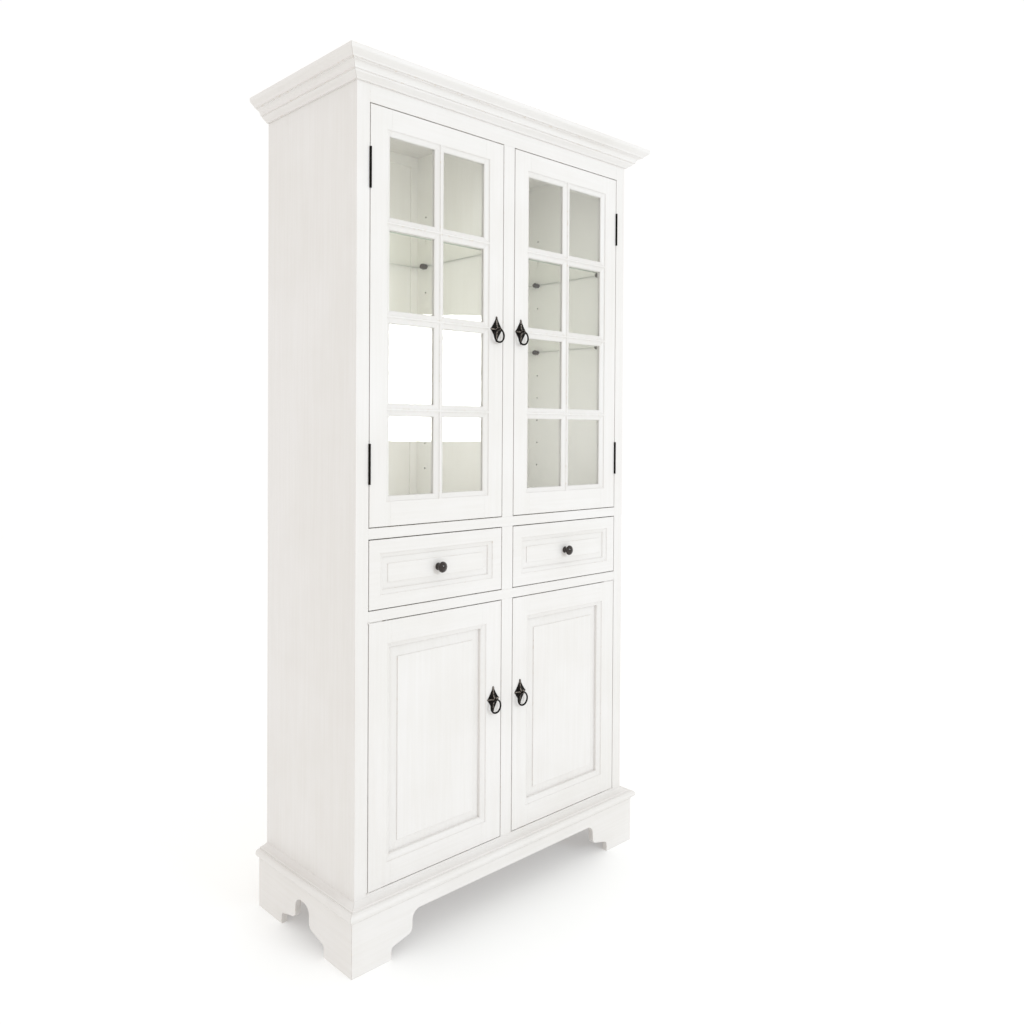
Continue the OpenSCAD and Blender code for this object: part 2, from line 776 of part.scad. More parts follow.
module at_panes()
    for (column = [0:pane_columns - 1], row = [0:pane_rows - 1])
        translate([pane_x(column), 0, pane_z(row)]) children();

// The whole door as one moulded lattice, from which its members are cut
module glazed_lattice()
    difference() {
        translate([-door_w / 2, 0, -upper_door_h / 2]) cube([door_w, upper_door_t, upper_door_h]);
        at_panes() {
            sink(pane_w / 2 + stick_w, pane_h / 2 + stick_w, stick_w, stick_d, upper_door_t + over);
            translate([-pane_w / 2 - rebate_w, glass_y, -pane_h / 2 - rebate_w])
                cube([pane_w + 2 * rebate_w, upper_door_t, pane_h + 2 * rebate_w]);
        }
    }

sight_low = -upper_door_h / 2 + upper_bottom_rail_h;
sight_high = upper_door_h / 2 - upper_top_rail_h;

module upper_door_frame()
    color(PAINT) difference() {
        translate([-x_bay, y_front, z_upper_door]) intersection() {
            glazed_lattice();
            union() {
                for (side = [0, 1]) mirror([side, 0, 0])
                    block([sight_w / 2, -over, -upper_door_h], [door_w, upper_door_t + over, upper_door_h]);
                block([-sight_w / 2 + glue_line, -over, sight_high],
                      [sight_w / 2 - glue_line, upper_door_t + over, upper_door_h]);
                block([-sight_w / 2 + glue_line, -over, -upper_door_h],
                      [sight_w / 2 - glue_line, upper_door_t + over, sight_low]);
            }
        }
        barrel_relief();
        at_upper_handle() rotate([-90, 0, 0])
            translate([0, 0, -over]) cylinder(r = shank_r + shank_clear, h = upper_door_t + 2 * over);
    }

module upper_door_bars()
    color(PAINT) translate([-x_bay, y_front, z_upper_door]) intersection() {
        glazed_lattice();
        block([-sight_w / 2, -over, sight_low], [sight_w / 2, upper_door_t + over, sight_high]);
    }

module upper_door_panes()
    color(GLASS) translate([-x_bay, y_front + glass_y, z_upper_door]) at_panes()
        translate([-pane_w / 2 - rebate_w + pane_play, 0, -pane_h / 2 - rebate_w + pane_play])
            cube([pane_w + 2 * (rebate_w - pane_play), pane_t, pane_h + 2 * (rebate_w - pane_play)]);

module upper_door_beads()
    color(PAINT) translate([-x_bay, y_front + glass_y + pane_t, z_upper_door]) at_panes()
        difference() {
            translate([-pane_w / 2 - rebate_w, 0, -pane_h / 2 - rebate_w])
                cube([pane_w + 2 * rebate_w, bead_t, pane_h + 2 * rebate_w]);
            translate([-pane_w / 2, -over, -pane_h / 2]) cube([pane_w, bead_t + 2 * over, pane_h]);
        }

// ---------- butt hinges ----------

pitch = hinge_l / knuckles;

// Knuckles with the given remainder, about the origin
module knuckle_stack(odd, r)
    for (i = [odd:2:knuckles - 1])
        translate([0, 0, -hinge_l / 2 + i * pitch + (i == 0 ? 0 : knuckle_gap / 2)])
            cylinder(r = r, h = pitch - (i == 0 || i == knuckles - 1 ? knuckle_gap / 2 : knuckle_gap));

// A leaf on the plane x = 0, towards -X, cut clear of the other leaf's knuckles
module hinge_leaf(odd)
    difference() {
        block([-leaf_t, 0, -hinge_l / 2], [0, barrel_out + leaf_w, hinge_l / 2]);
        for (i = [odd:2:knuckles - 1]) {
            at_end = i == 0 || i == knuckles - 1;
            translate([0, 0, -hinge_l / 2 + i * pitch - (i == 0 ? over : knuckle_gap / 2)])
                cylinder(r = barrel_r + relief, h = pitch + (at_end ? over : knuckle_gap));
        }
    }

module frame_leaf() {
    knuckle_stack(0, barrel_r);
    cylinder(r = hinge_pin_r, h = hinge_l, center = true);
    translate([-0.05, 0, 0]) hinge_leaf(1);
}

module door_leaf() {
    difference() {
        union() {
            knuckle_stack(1, barrel_r);
            translate([0.05, 0, 0]) right() hinge_leaf(0);
        }
        cylinder(r = hinge_pin_r + pin_clear, h = hinge_l + 2, center = true);
    }
}

module butt_hinge_frame_leaves()
    color(IRON) for (side = [0, 1]) mirror([side, 0, 0]) hinge_axes() frame_leaf();

module upper_door_hinge_leaves() color(IRON) hinge_axes() door_leaf();

// ---------- pivot hinges of the panelled doors ----------

// A flat plate with an eye at the origin, running back into the edge it is fixed to
module pivot_plate(hole)
    linear_extrude(height = leaf_t) difference() {
        union() {
            circle(r = pivot_r);
            polygon([[0, -pivot_r], [0, pivot_r], [4, pivot_plate_w + 3],
                     [pivot_plate_l, pivot_plate_w + 3], [pivot_plate_l, 3], [6, 3], [pivot_r, 0]]);
        }
        if (hole) circle(r = pivot_pin_r + pin_clear);
    }

module at_pivots()
    for (end = [0, 1])
        translate([-x_axis, y_front, end == 0 ? z_lower : z_lower_top])
            mirror([0, 0, end]) children();

// Fixed plate on the rail, with its pin through the plate on the door
module pivot_frame_plate() {
    pivot_plate(false);
    cylinder(r = pivot_pin_r, h = 2 * leaf_t + 0.05);
}

module pivot_hinge_frame_plates()
    color(STEEL) for (side = [0, 1]) mirror([side, 0, 0]) at_pivots() pivot_frame_plate();

module lower_door_pivot_plates()
    color(STEEL) at_pivots() translate([0, 0, door_gap - leaf_t]) pivot_plate(true);

// ---------- panelled doors ----------

lower_sight_w = door_w - 2 * lower_frame_w;
lower_sight_h = lower_door_h - 2 * lower_frame_w;
groove_d = 8;
panel_play = 1;
panel_line = 0.4;
door_quirk = 3;
panel_back = lower_door_t - 3;

module panel_groove()
    translate([-lower_sight_w / 2 - groove_d, panel_back - tongue_t, -lower_sight_h / 2 - groove_d])
        cube([lower_sight_w + 2 * groove_d, tongue_t, lower_sight_h + 2 * groove_d]);

module lower_door_frame()
    color(PAINT) difference() {
        translate([-x_bay, y_front, z_lower_door]) intersection() {
            difference() {
                translate([-door_w / 2, 0, -lower_door_h / 2])
                    cube([door_w, lower_door_t, lower_door_h]);
                sink(lower_sight_w / 2 + stick_w, lower_sight_h / 2 + stick_w, stick_w, stick_d,
                     lower_door_t + over);
                panel_groove();
            }
            union() {
                for (side = [0, 1]) mirror([side, 0, 0])
                    block([lower_sight_w / 2, -over, -lower_door_h],
                          [door_w, lower_door_t + over, lower_door_h]);
                for (end = [0, 1]) mirror([0, 0, end])
                    block([-lower_sight_w / 2 + glue_line, -over, lower_sight_h / 2],
                          [lower_sight_w / 2 - glue_line, lower_door_t + over, lower_door_h]);
            }
        }
        at_lower_handle() rotate([-90, 0, 0])
            translate([0, 0, -over]) cylinder(r = shank_r + shank_clear, h = lower_door_t + 2 * over);
    }

module lower_door_panel()
    color(PAINT) translate([-x_bay, y_front, z_lower_door]) {
        half_w = lower_sight_w / 2;
        half_h = lower_sight_h / 2;
        edge_w = half_w + groove_d - panel_play;
        edge_h = half_h + groove_d - panel_play;
        raised(half_w - panel_line, half_h - panel_line, door_border_w, panel_back - tongue_t,
               door_field_d + door_quirk, door_field_d, panel_back);
        translate([-edge_w, panel_back - tongue_t, -edge_h])
            cube([2 * edge_w, tongue_t, 2 * edge_h]);
    }

// ---------- catches ----------

catch_size = [25, 18, 30];
catch_gap = 1.3;
catch_down = 120;

// Magnetic catches on the partitions, just behind the doors' free edges
module door_catches()
    color(STEEL) for (side = [0, 1], door = [[z_upper_door, upper_door_t], [z_lower_door, lower_door_t]])
        mirror([side, 0, 0])
            translate([partition_t / 2, y_front + door[1] + catch_gap, door[0] - catch_down])
                cube(catch_size);

// ---------- the two of each ----------

module upper_left_door_frame() upper_door_frame();
module upper_left_door_bars() upper_door_bars();
module upper_left_door_panes() upper_door_panes();
module upper_left_door_beads() upper_door_beads();
module upper_left_door_hinge_leaves() upper_door_hinge_leaves();
module upper_left_door_plate() color(IRON) at_upper_handle() handle_plate(upper_door_t);
module upper_left_door_ring() color(IRON) at_upper_handle() drop_ring();
module upper_right_door_frame() right() upper_door_frame();
module upper_right_door_bars() right() upper_door_bars();
module upper_right_door_panes() right() upper_door_panes();
module upper_right_door_beads() right() upper_door_beads();
module upper_right_door_hinge_leaves() right() upper_door_hinge_leaves();
module upper_right_door_plate() right() upper_left_door_plate();
module upper_right_door_ring() right() upper_left_door_ring();
module lower_left_door_frame() lower_door_frame();
module lower_left_door_panel() lower_door_panel();
module lower_left_door_pivot_plates() lower_door_pivot_plates();
module lower_left_door_plate() color(IRON) at_lower_handle() handle_plate(lower_door_t);
module lower_left_door_ring() color(IRON) at_lower_handle() drop_ring();
module lower_right_door_frame() right() lower_door_frame();
module lower_right_door_panel() right() lower_door_panel();
module lower_right_door_pivot_plates() right() lower_door_pivot_plates();
module lower_right_door_plate() right() lower_left_door_plate();
module lower_right_door_ring() right() lower_left_door_ring();
module left_drawer_front() drawer_front();
module left_drawer_box() drawer_box();
module left_drawer_bottom() drawer_bottom();
module left_drawer_knob() drawer_knob();
module right_drawer_front() right() drawer_front();
module right_drawer_box() right() drawer_box();
module right_drawer_bottom() right() drawer_bottom();
module right_drawer_knob() right() drawer_knob();

side_panel_left();
side_panel_right();
centre_partitions();
decks();
top_panel();
back_stiles();
back_rails();
back_panels();
face_stiles();
face_mullions();
face_rails();
cornice_front();
cornice_returns();
base_moulding_front();
base_moulding_returns();
plinth_front();
plinth_sides();
plinth_back();
plinth_corner_blocks();
glass_shelves();
glass_shelf_clamps();
lower_shelves();
lower_shelf_pegs();
drawer_guides();
butt_hinge_frame_leaves();
pivot_hinge_frame_plates();
door_catches();
upper_left_door_frame();
upper_left_door_bars();
upper_left_door_panes();
upper_left_door_beads();
upper_left_door_hinge_leaves();
upper_left_door_plate();
upper_left_door_ring();
upper_right_door_frame();
upper_right_door_bars();
upper_right_door_panes();
upper_right_door_beads();
upper_right_door_hinge_leaves();
upper_right_door_plate();
upper_right_door_ring();
lower_left_door_frame();
lower_left_door_panel();
lower_left_door_pivot_plates();
lower_left_door_plate();
lower_left_door_ring();
lower_right_door_frame();
lower_right_door_panel();
lower_right_door_pivot_plates();
lower_right_door_plate();
lower_right_door_ring();
left_drawer_front();
left_drawer_box();
left_drawer_bottom();
left_drawer_knob();
right_drawer_front();
right_drawer_box();
right_drawer_bottom();
right_drawer_knob();
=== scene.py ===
"""Finishes and fittings for a painted two-bay display cabinet.

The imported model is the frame. Its own nodes keep their shape and get softened
edges and painted, glazed or bare-wood finishes; the ironwork, the knobs and the
shelf clamps are made here in detail, in the places that the frame gives.
"""

import math

import bmesh
import bpy
from mathutils import Matrix, Vector


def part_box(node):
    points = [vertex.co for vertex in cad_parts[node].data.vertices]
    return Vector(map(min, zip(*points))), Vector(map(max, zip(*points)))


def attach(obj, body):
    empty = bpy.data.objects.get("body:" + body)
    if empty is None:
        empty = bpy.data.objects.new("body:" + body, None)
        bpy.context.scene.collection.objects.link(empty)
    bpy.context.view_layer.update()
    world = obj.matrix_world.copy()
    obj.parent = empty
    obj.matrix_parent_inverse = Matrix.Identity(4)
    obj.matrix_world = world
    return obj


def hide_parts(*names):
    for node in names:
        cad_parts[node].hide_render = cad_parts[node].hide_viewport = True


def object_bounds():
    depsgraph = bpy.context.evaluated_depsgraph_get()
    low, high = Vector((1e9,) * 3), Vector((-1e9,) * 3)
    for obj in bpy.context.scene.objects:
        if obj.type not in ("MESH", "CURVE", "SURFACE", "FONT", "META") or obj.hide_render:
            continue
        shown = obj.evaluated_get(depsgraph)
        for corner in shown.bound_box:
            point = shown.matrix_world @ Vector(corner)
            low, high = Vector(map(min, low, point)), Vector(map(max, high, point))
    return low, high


bl_info = {
    "name": "Display Cabinet Finishes",
    "version": (1, 0, 0),
    "blender": (4, 5, 0),
    "location": "View3D > Sidebar > Cabinet",
    "description": "Paint, glass, ironwork and a studio for a two-bay display cabinet",
    "category": "Object",
}

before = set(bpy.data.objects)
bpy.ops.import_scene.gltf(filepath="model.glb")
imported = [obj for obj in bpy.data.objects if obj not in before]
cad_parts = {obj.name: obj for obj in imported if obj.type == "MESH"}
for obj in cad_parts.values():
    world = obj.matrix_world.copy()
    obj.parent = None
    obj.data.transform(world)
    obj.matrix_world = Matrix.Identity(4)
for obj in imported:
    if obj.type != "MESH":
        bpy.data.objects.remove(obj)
CAD_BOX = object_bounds()
MM = 0.001
LEVELS = ("upper", "lower")
SIDES = ("left", "right")
GRAIN = {"upright": (1, 1, 0.035), "level": (0.035, 1, 1), "deep": (1, 0.035, 1)}

# Dark joint colour: a joint line in the mitres, a joint line and painted shade in the crevice above the
# plinth.
JOINT_DIRT_AND_SHADE = (0.20, 0.14, 0.10, 1)
# Bare wood of the peg holes' walls, darkened as painted shade of the holes.
SHADED_DRILLED_WOOD = (0.10, 0.065, 0.04, 1)
# Unpainted wood under the carcass, far darker than bare wood: painted shade.
SHADED_RAW_WOOD = ((0.16, 0.10, 0.055, 1), (0.09, 0.055, 0.03, 1))
RUBBED_PRIMER = (0.60, 0.50, 0.38, 1)
PAINT_SPECKS = (0.55, 0.5, 0.42, 1)
PORES = (0.22, 0.13, 0.07, 1)
AGED_WOOD = (0.50, 0.36, 0.22, 1)
FORGE_SCALE = (0.030, 0.025, 0.022, 1)
RUST = (0.06, 0.033, 0.02, 1)
# Light grey-brown of the painted highlight along the handle plates' ridges.
IRON_RIDGE_HIGHLIGHT = (0.46, 0.40, 0.35, 1)
KNOB_BRONZE = (0.016, 0.009, 0.006)
AIR = (1, 0.992, 0.984, 1)
KEY_TINT = (0.74, 0.89, 1.0)

SHELF_HOLE_DEPTH = 7.5 * MM
SHELF_THICK = 6 * MM
CLAMP_REACH = 16 * MM


# ---------------------------------------------------------------- shader tools


class Shader:
    """A node tree with short calls for adding nodes and joining their sockets."""

    def __init__(self, tree):
        self.tree = tree

    def add(self, kind, **settings):
        node = self.tree.nodes.new("ShaderNode" + kind)
        for name, value in settings.items():
            setattr(node, name, value)
        return node

    def feed(self, node, **sources):
        """Sets or links inputs. A name's underscores stand for spaces, and iN is input N."""
        for name, source in sources.items():
            number = name[1:] if name[0] == "i" and name[1:].isdigit() else None
            socket = node.inputs[int(number) if number else name.replace("_", " ")]
            if isinstance(source, bpy.types.NodeSocket):
                self.tree.links.new(source, socket)
            else:
                socket.default_value = source
        return node

    def math(self, operation, a, b=0.0, c=0.0, clamp=False):
        node = self.add("Math", operation=operation, use_clamp=clamp)
        return self.feed(node, i0=a, i1=b, i2=c).outputs[0]

    def vector(self, operation, a, b=(0, 0, 0)):
        node = self.add("VectorMath", operation=operation)
        return self.feed(node, i0=a, i1=b).outputs[0]

    def split(self, vector):
        return self.feed(self.add("SeparateXYZ"), i0=vector).outputs

    def mix(self, factor, a, b):
        node = self.add("Mix", data_type="RGBA")
        self.feed(node, i0=factor, i6=a, i7=b)
        return node.outputs[2]

    def mix_vector(self, factor, a, b):
        node = self.add("Mix", data_type="VECTOR")
        self.feed(node, i0=factor, i4=a, i5=b)
        return node.outputs[1]

    def span(self, value, low, high, to_low=0.0, to_high=1.0):
        node = self.add("MapRange", interpolation_type="SMOOTHSTEP")
        self.feed(node, Value=value, From_Min=low, From_Max=high, To_Min=to_low, To_Max=to_high)
        return node.outputs["Result"]

    def noise(self, vector, scale, detail=2.0, roughness=0.5, distortion=0.0):
        node = self.add("TexNoise")
        self.feed(node, Vector=vector, Scale=scale, Detail=detail, Roughness=roughness,
                  Distortion=distortion)
        return node.outputs[0]

    def cells(self, vector, scale, feature="SMOOTH_F1", smoothness=0.6):
        node = self.add("TexVoronoi", feature=feature)
        self.feed(node, Vector=vector, Scale=scale)
        if feature == "SMOOTH_F1":
            self.feed(node, Smoothness=smoothness)
        return node.outputs["Distance"]

    def bump(self, height, depth, strength=1.0, under=None):
        node = self.feed(self.add("Bump"), Height=height, Distance=depth, Strength=strength)
        if under is not None:
            self.feed(node, Normal=under)
        return node.outputs[0]

    def place(self):
        """The point in the cabinet's own frame, in metres."""
        return self.add("TexCoord").outputs["Object"]

    def use(self, group, **inputs):
        node = self.add("Group")
        node.node_tree = group
        return self.feed(node, **inputs)


def new_group(name, inputs, outputs):
    """An empty node group with named inputs and outputs: (shader, inputs, outputs node)."""
    tree = bpy.data.node_groups.new(name, "ShaderNodeTree")
    for label, kind, default in inputs:
        socket = tree.interface.new_socket(name=label, in_out="INPUT", socket_type="NodeSocket" + kind)
        socket.default_value = default
    for label, kind in outputs:
        tree.interface.new_socket(name=label, in_out="OUTPUT", socket_type="NodeSocket" + kind)
    shader = Shader(tree)
    return shader, tree.nodes.new("NodeGroupInput").outputs, tree.nodes.new("NodeGroupOutput")


def brush_marks_group():
    """Marks that a bristle brush leaves in paint, along a vector stretched along the stroke."""
    s, given, out = new_group(
        "brush_marks",
        [("Vector", "Vector", (0, 0, 0)), ("Fineness", "Float", 1.0)],
        [("Height", "Float"), ("Tone", "Float")])
    bristle_scale = s.math("MULTIPLY", given["Fineness"], 780.0)
    bristles = s.noise(given["Vector"], bristle_scale, 3.0, 0.55)
    strokes = s.noise(given["Vector"], s.math("MULTIPLY", bristle_scale, 0.17), 2.0, 0.5, 0.3)
    height = s.math("ADD", s.math("MULTIPLY", bristles, 0.55), s.math("MULTIPLY", strokes, 0.45))
    s.feed(out, Height=height, Tone=s.span(strokes, 0.3, 0.7))
    return s.tree


def clouding_group():
    """Slow drifts of tone and gloss over a painted or waxed surface."""
    s, given, out = new_group(
        "clouding",
        [("Vector", "Vector", (0, 0, 0)), ("Size", "Float", 0.2)],
        [("Tone", "Float"), ("Gloss", "Float")])
    scale = s.math("DIVIDE", 1.0, given["Size"])
    slow = s.noise(given["Vector"], scale, 3.0, 0.55)
    patchy = s.noise(s.vector("ADD", given["Vector"], (7.3, 1.9, 4.1)), s.math("MULTIPLY", scale, 3.7), 4.0)
    s.feed(out, Tone=s.span(slow, 0.35, 0.65), Gloss=s.span(patchy, 0.35, 0.7))
    return s.tree


def grain_lines_group():
    """Growth rings and pores of a sawn board, along a stretched vector."""
    s, given, out = new_group(
        "grain_lines",
        [("Vector", "Vector", (0, 0, 0)), ("Spacing", "Float", 0.012)],
        [("Rings", "Float"), ("Pores", "Float")])
    scale = s.math("DIVIDE", 1.0, given["Spacing"])
    wander = s.noise(given["Vector"], s.math("MULTIPLY", scale, 0.35), 2.0, 0.5, 0.4)
    slope = s.math("MULTIPLY", s.split(given["Vector"])[1], 40.0)
    phase = s.math("ADD", s.math("MULTIPLY", wander, 9.0), slope)
    rings = s.math("ADD", s.math("MULTIPLY", s.math("SINE", s.math("MULTIPLY", phase, 6.2832)), 0.5), 0.5)
    pores = s.span(s.noise(given["Vector"], 2600.0, 2.0, 0.6), 0.58, 0.72)
    s.feed(out, Rings=s.math("POWER", rings, 1.6), Pores=pores)
    return s.tree


def hammering_group():
    """Shallow facets and scale left by forging."""
    s, given, out = new_group(
        "hammering",
        [("Vector", "Vector", (0, 0, 0)), ("Facet", "Float", 0.005)],
        [("Height", "Float"), ("Scale Marks", "Float")])
    scale = s.math("DIVIDE", 1.0, given["Facet"])
    facets = s.cells(given["Vector"], scale)
    pits = s.noise(given["Vector"], s.math("MULTIPLY", scale, 6.0), 4.0, 0.65)
    height = s.math("ADD", s.math("MULTIPLY", facets, 0.8), s.math("MULTIPLY", pits, 0.35))
    s.feed(out, Height=height, Scale_Marks=s.span(pits, 0.45, 0.7))
    return s.tree


GROUPS = {}


def group(name):
    if name not in GROUPS:
        GROUPS[name] = {"brush_marks": brush_marks_group, "clouding": clouding_group,
                        "grain_lines": grain_lines_group, "hammering": hammering_group}[name]()
    return GROUPS[name]


def new_material(name, base_roughness=0.5):
    material = bpy.data.materials.new(name)
    material.use_nodes = True
    shader = Shader(material.node_tree)
    surface = material.node_tree.nodes["Principled BSDF"]
    surface.inputs["Roughness"].default_value = base_roughness
    return material, shader, surface


# ---------------------------------------------------------------- finishes


def stroke_vector(s, run, rails=None):
    """The place, squeezed along the brush strokes. rails gives the x range where they turn level."""
    place = s.place()
    along = s.vector("MULTIPLY", place, GRAIN[run])
    if rails is None:
        return place, along
    x = s.split(place)[0]
    inside = s.math("MULTIPLY", s.math("GREATER_THAN", x, rails[0]), s.math("LESS_THAN", x, rails[1]))
    return place, s.mix_vector(inside, along, s.vector("MULTIPLY", place, GRAIN["level"]))


def painted(name, colour, run="upright", rails=None, gloss=0.36, shade=0.94, worn=0.0,
            lining=None, bored=None, mitre=None, crevice=None, raw=None):
    """Brushed satin paint on wood. worn is how much of it has rubbed thin, as on an arris.

    lining is (x, colour): the paint nearer the middle than that x.
    bored is the range of x whose surfaces are bare wood, as inside a bored hole, made very dark as painted
    shade.
    mitre is the sum of |x| and y along a mitred joint, which shows as a hairline.
    crevice is the height of the joint between plinth and base moulding, drawn as a dark line: a joint line
    and painted shade in one.
    raw is the far corner (x, y, z) of the space under the carcass where the wood is left unpainted and made
    very dark as painted shade.
    """
    material, s, surface = new_material(name)
    place, along = stroke_vector(s, run, rails)
    marks = s.use(group("brush_marks"), Vector=along, Fineness=1.0).outputs
    drift = s.use(group("clouding"), Vector=place, Size=0.28).outputs
    deep = tuple(c * shade * w for c, w in zip(colour[:3], (1.0, 0.992, 0.972))) + (1,)
    tone = s.math("ADD", s.math("MULTIPLY", marks["Tone"], 0.35), s.math("MULTIPLY", drift["Tone"], 0.5))
    coat = s.mix(tone, tuple(colour[:3]) + (1,), deep)
    across = s.math("ABSOLUTE", s.split(place)[0])
    if lining:
        coat = s.mix(s.math("LESS_THAN", across, lining[0]), coat, tuple(lining[1][:3]) + (1,))
    dirt_and_shade = s.span(s.noise(place, 60.0, 3.0, 0.6), 0.35, 0.6)
    # Dark lines along the mitres and along the crevice above the plinth; the crevice line is partly painted
    # shade.
    for level, reach, gap in ((mitre, 0.45, across), (crevice, 0.6, None)):
        if level is not None:
            gap = s.split(place)[2] if gap is None else s.math("ADD", gap, s.split(place)[1])
            line = s.span(s.math("ABSOLUTE", s.math("SUBTRACT", gap, level)), 0.2 * MM, reach * MM, 1.0, 0.0)
            coat = s.mix(s.math("MULTIPLY", line, s.math("MULTIPLY_ADD", dirt_and_shade, 0.5, 0.2)), coat, JOINT_DIRT_AND_SHADE)
    # Bore walls: bare wood and painted shade in one, much darker than the bare boards.
    if bored:
        bore_wall_in_shade = s.math("MULTIPLY", s.math("GREATER_THAN", across, bored[0]),
                         s.math("LESS_THAN", across, bored[1]))
        coat = s.mix(bore_wall_in_shade, coat, SHADED_DRILLED_WOOD)
    # The space under the carcass: unpainted wood, darkened as painted shade.
    if raw:
        y, z = s.split(place)[1:]
        raw_in_shade = s.math("MULTIPLY", s.math("LESS_THAN", across, raw[0]), s.math("GREATER_THAN", y, raw[1]))
        raw_in_shade = s.math("MULTIPLY", raw_in_shade, s.math("LESS_THAN", z, raw[2]))
        grain = s.use(group("grain_lines"), Vector=along, Spacing=0.012).outputs
        coat = s.mix(raw_in_shade, coat, s.mix(grain["Rings"], *SHADED_RAW_WOOD))
    if worn:
        rubbed = s.span(s.noise(place, 95.0, 4.0, 0.7), 0.66 - 0.3 * worn, 0.74 - 0.3 * worn)
        coat = s.mix(rubbed, coat, RUBBED_PRIMER)
    specks = s.span(s.noise(place, 620.0, 1.0), 0.74, 0.8)
    s.feed(surface, Base_Color=s.mix(s.math("MULTIPLY", specks, 0.12), coat, PAINT_SPECKS),
           Roughness=s.math("ADD", s.math("MULTIPLY", drift["Gloss"], 0.10),
                            s.math("MULTIPLY_ADD", marks["Tone"], 0.05, gloss)),
           Normal=s.bump(marks["Height"], 0.00016, 0.5))
    return material


def bare_wood(name, colour, run="level", spacing=0.011):
    """Sanded, unfinished board."""
    material, s, surface = new_material(name)
    place, along = stroke_vector(s, run)
    grain = s.use(group("grain_lines"), Vector=along, Spacing=spacing).outputs
    drift = s.use(group("clouding"), Vector=place, Size=0.15).outputs
    late = tuple(c * w for c, w in zip(colour[:3], (0.74, 0.66, 0.55))) + (1,)
    board = s.mix(s.math("MULTIPLY", grain["Rings"], 0.75), tuple(colour[:3]) + (1,), late)
    board = s.mix(s.math("MULTIPLY", grain["Pores"], 0.55), board, PORES)
    board = s.mix(s.math("MULTIPLY", drift["Tone"], 0.18), board, AGED_WOOD)
    fibre = s.noise(along, 1500.0, 3.0, 0.6)
    s.feed(surface, Base_Color=board,
           Roughness=s.math("MULTIPLY_ADD", drift["Gloss"], 0.12, 0.55),
           Normal=s.bump(s.math("SUBTRACT", fibre, grain["Pores"]), 0.00022, 0.6))
    return material


def forged(name, colour, facet=0.0045, metallic=0.95, roughness=0.3, ridges=None, lacquer=0.0):
    """Waxed black ironwork with hammer facets and brown scale. lacquer is the weight of a clear coat.

    ridges is the (|x|, z) where two ridges cross; a painted highlight runs along both ridges.
    """
    material, s, surface = new_material(name)
    place = s.place()
    beaten = s.use(group("hammering"), Vector=place, Facet=facet).outputs
    rust = s.span(s.noise(place, 260.0, 5.0, 0.65), 0.56, 0.72)
    skin = s.mix(s.math("MULTIPLY", beaten["Scale Marks"], 0.6), tuple(colour[:3]) + (1,), FORGE_SCALE)
    skin = s.mix(s.math("MULTIPLY", rust, 0.5), skin, RUST)
    # Painted highlight: lighter colour along the plate's two ridges, broken up by noise.
    if ridges:
        x, _, z = s.split(place)
        beside = s.math("ABSOLUTE", s.math("SUBTRACT", s.math("ABSOLUTE", x), ridges[0]))
        above = s.math("ABSOLUTE", s.math("SUBTRACT", z, ridges[1]))
        highlight_band = s.span(s.math("MINIMUM", beside, above), 0.5 * MM, 2.4 * MM, 1.0, 0.0)
        highlight_spots = s.span(s.noise(place, 330.0, 3.0, 0.6), 0.44, 0.60)
        skin = s.mix(s.math("MULTIPLY", highlight_band, s.math("MULTIPLY_ADD", highlight_spots, 0.85, 0.1)), skin, IRON_RIDGE_HIGHLIGHT)
    surface.inputs["Coat Weight"].default_value = lacquer
    surface.inputs["Coat Roughness"].default_value = 0.12
    s.feed(surface, Base_Color=skin, Metallic=metallic,
           Roughness=s.math("MULTIPLY_ADD", beaten["Scale Marks"], 0.22, roughness),
           Normal=s.bump(beaten["Height"], 0.0005, 0.55))
    return material


def plated(name, colour, roughness=0.28):
    """Drawn or turned metal with fine lathe marks."""
    material, s, surface = new_material(name)
    place = s.place()
    drawn = s.noise(s.vector("MULTIPLY", place, (0.08, 1, 1)), 2400.0, 2.0, 0.6)
    smut = s.span(s.noise(place, 320.0, 4.0, 0.6), 0.45, 0.75)
    dull = tuple(c * 0.55 for c in colour[:3]) + (1,)
    s.feed(surface, Base_Color=s.mix(s.math("MULTIPLY", smut, 0.6), tuple(colour[:3]) + (1,), dull),
           Metallic=1.0, Roughness=s.math("MULTIPLY_ADD", smut, 0.25, roughness),
           Normal=s.bump(drawn, 0.00006, 0.5))
    return material


def glazing(name, colour, waviness=0.0004):
    """Clear sheet glass, faintly uneven; shadows pass it, as they pass a real pane."""
    material, s, surface = new_material(name, 0.0)
    place = s.place()
    roll = s.noise(s.vector("MULTIPLY", place, (1, 1, 0.4)), 9.0, 2.0, 0.45)
    dust = s.span(s.noise(place, 45.0, 5.0, 0.7), 0.56, 0.8, 0.0, 0.035)
    surface.inputs["Base Color"].default_value = tuple(colour[:3]) + (1,)
    surface.inputs["IOR"].default_value = 1.5
    surface.inputs["Transmission Weight"].default_value = 1.0
    s.feed(surface, Roughness=dust, Normal=s.bump(roll, waviness, 0.35))
    clear = s.feed(s.add("BsdfTransparent"), Color=tuple(c * 0.99 for c in colour[:3]) + (1,))
    path = s.add("LightPath").outputs
    passing = s.math("MAXIMUM", path["Is Shadow Ray"], path["Is Diffuse Ray"])
    choice = s.feed(s.add("MixShader"), i0=passing, i1=surface.outputs[0], i2=clear.outputs[0])
    s.tree.links.new(choice.outputs[0], s.tree.nodes["Material Output"].inputs["Surface"])
    return material


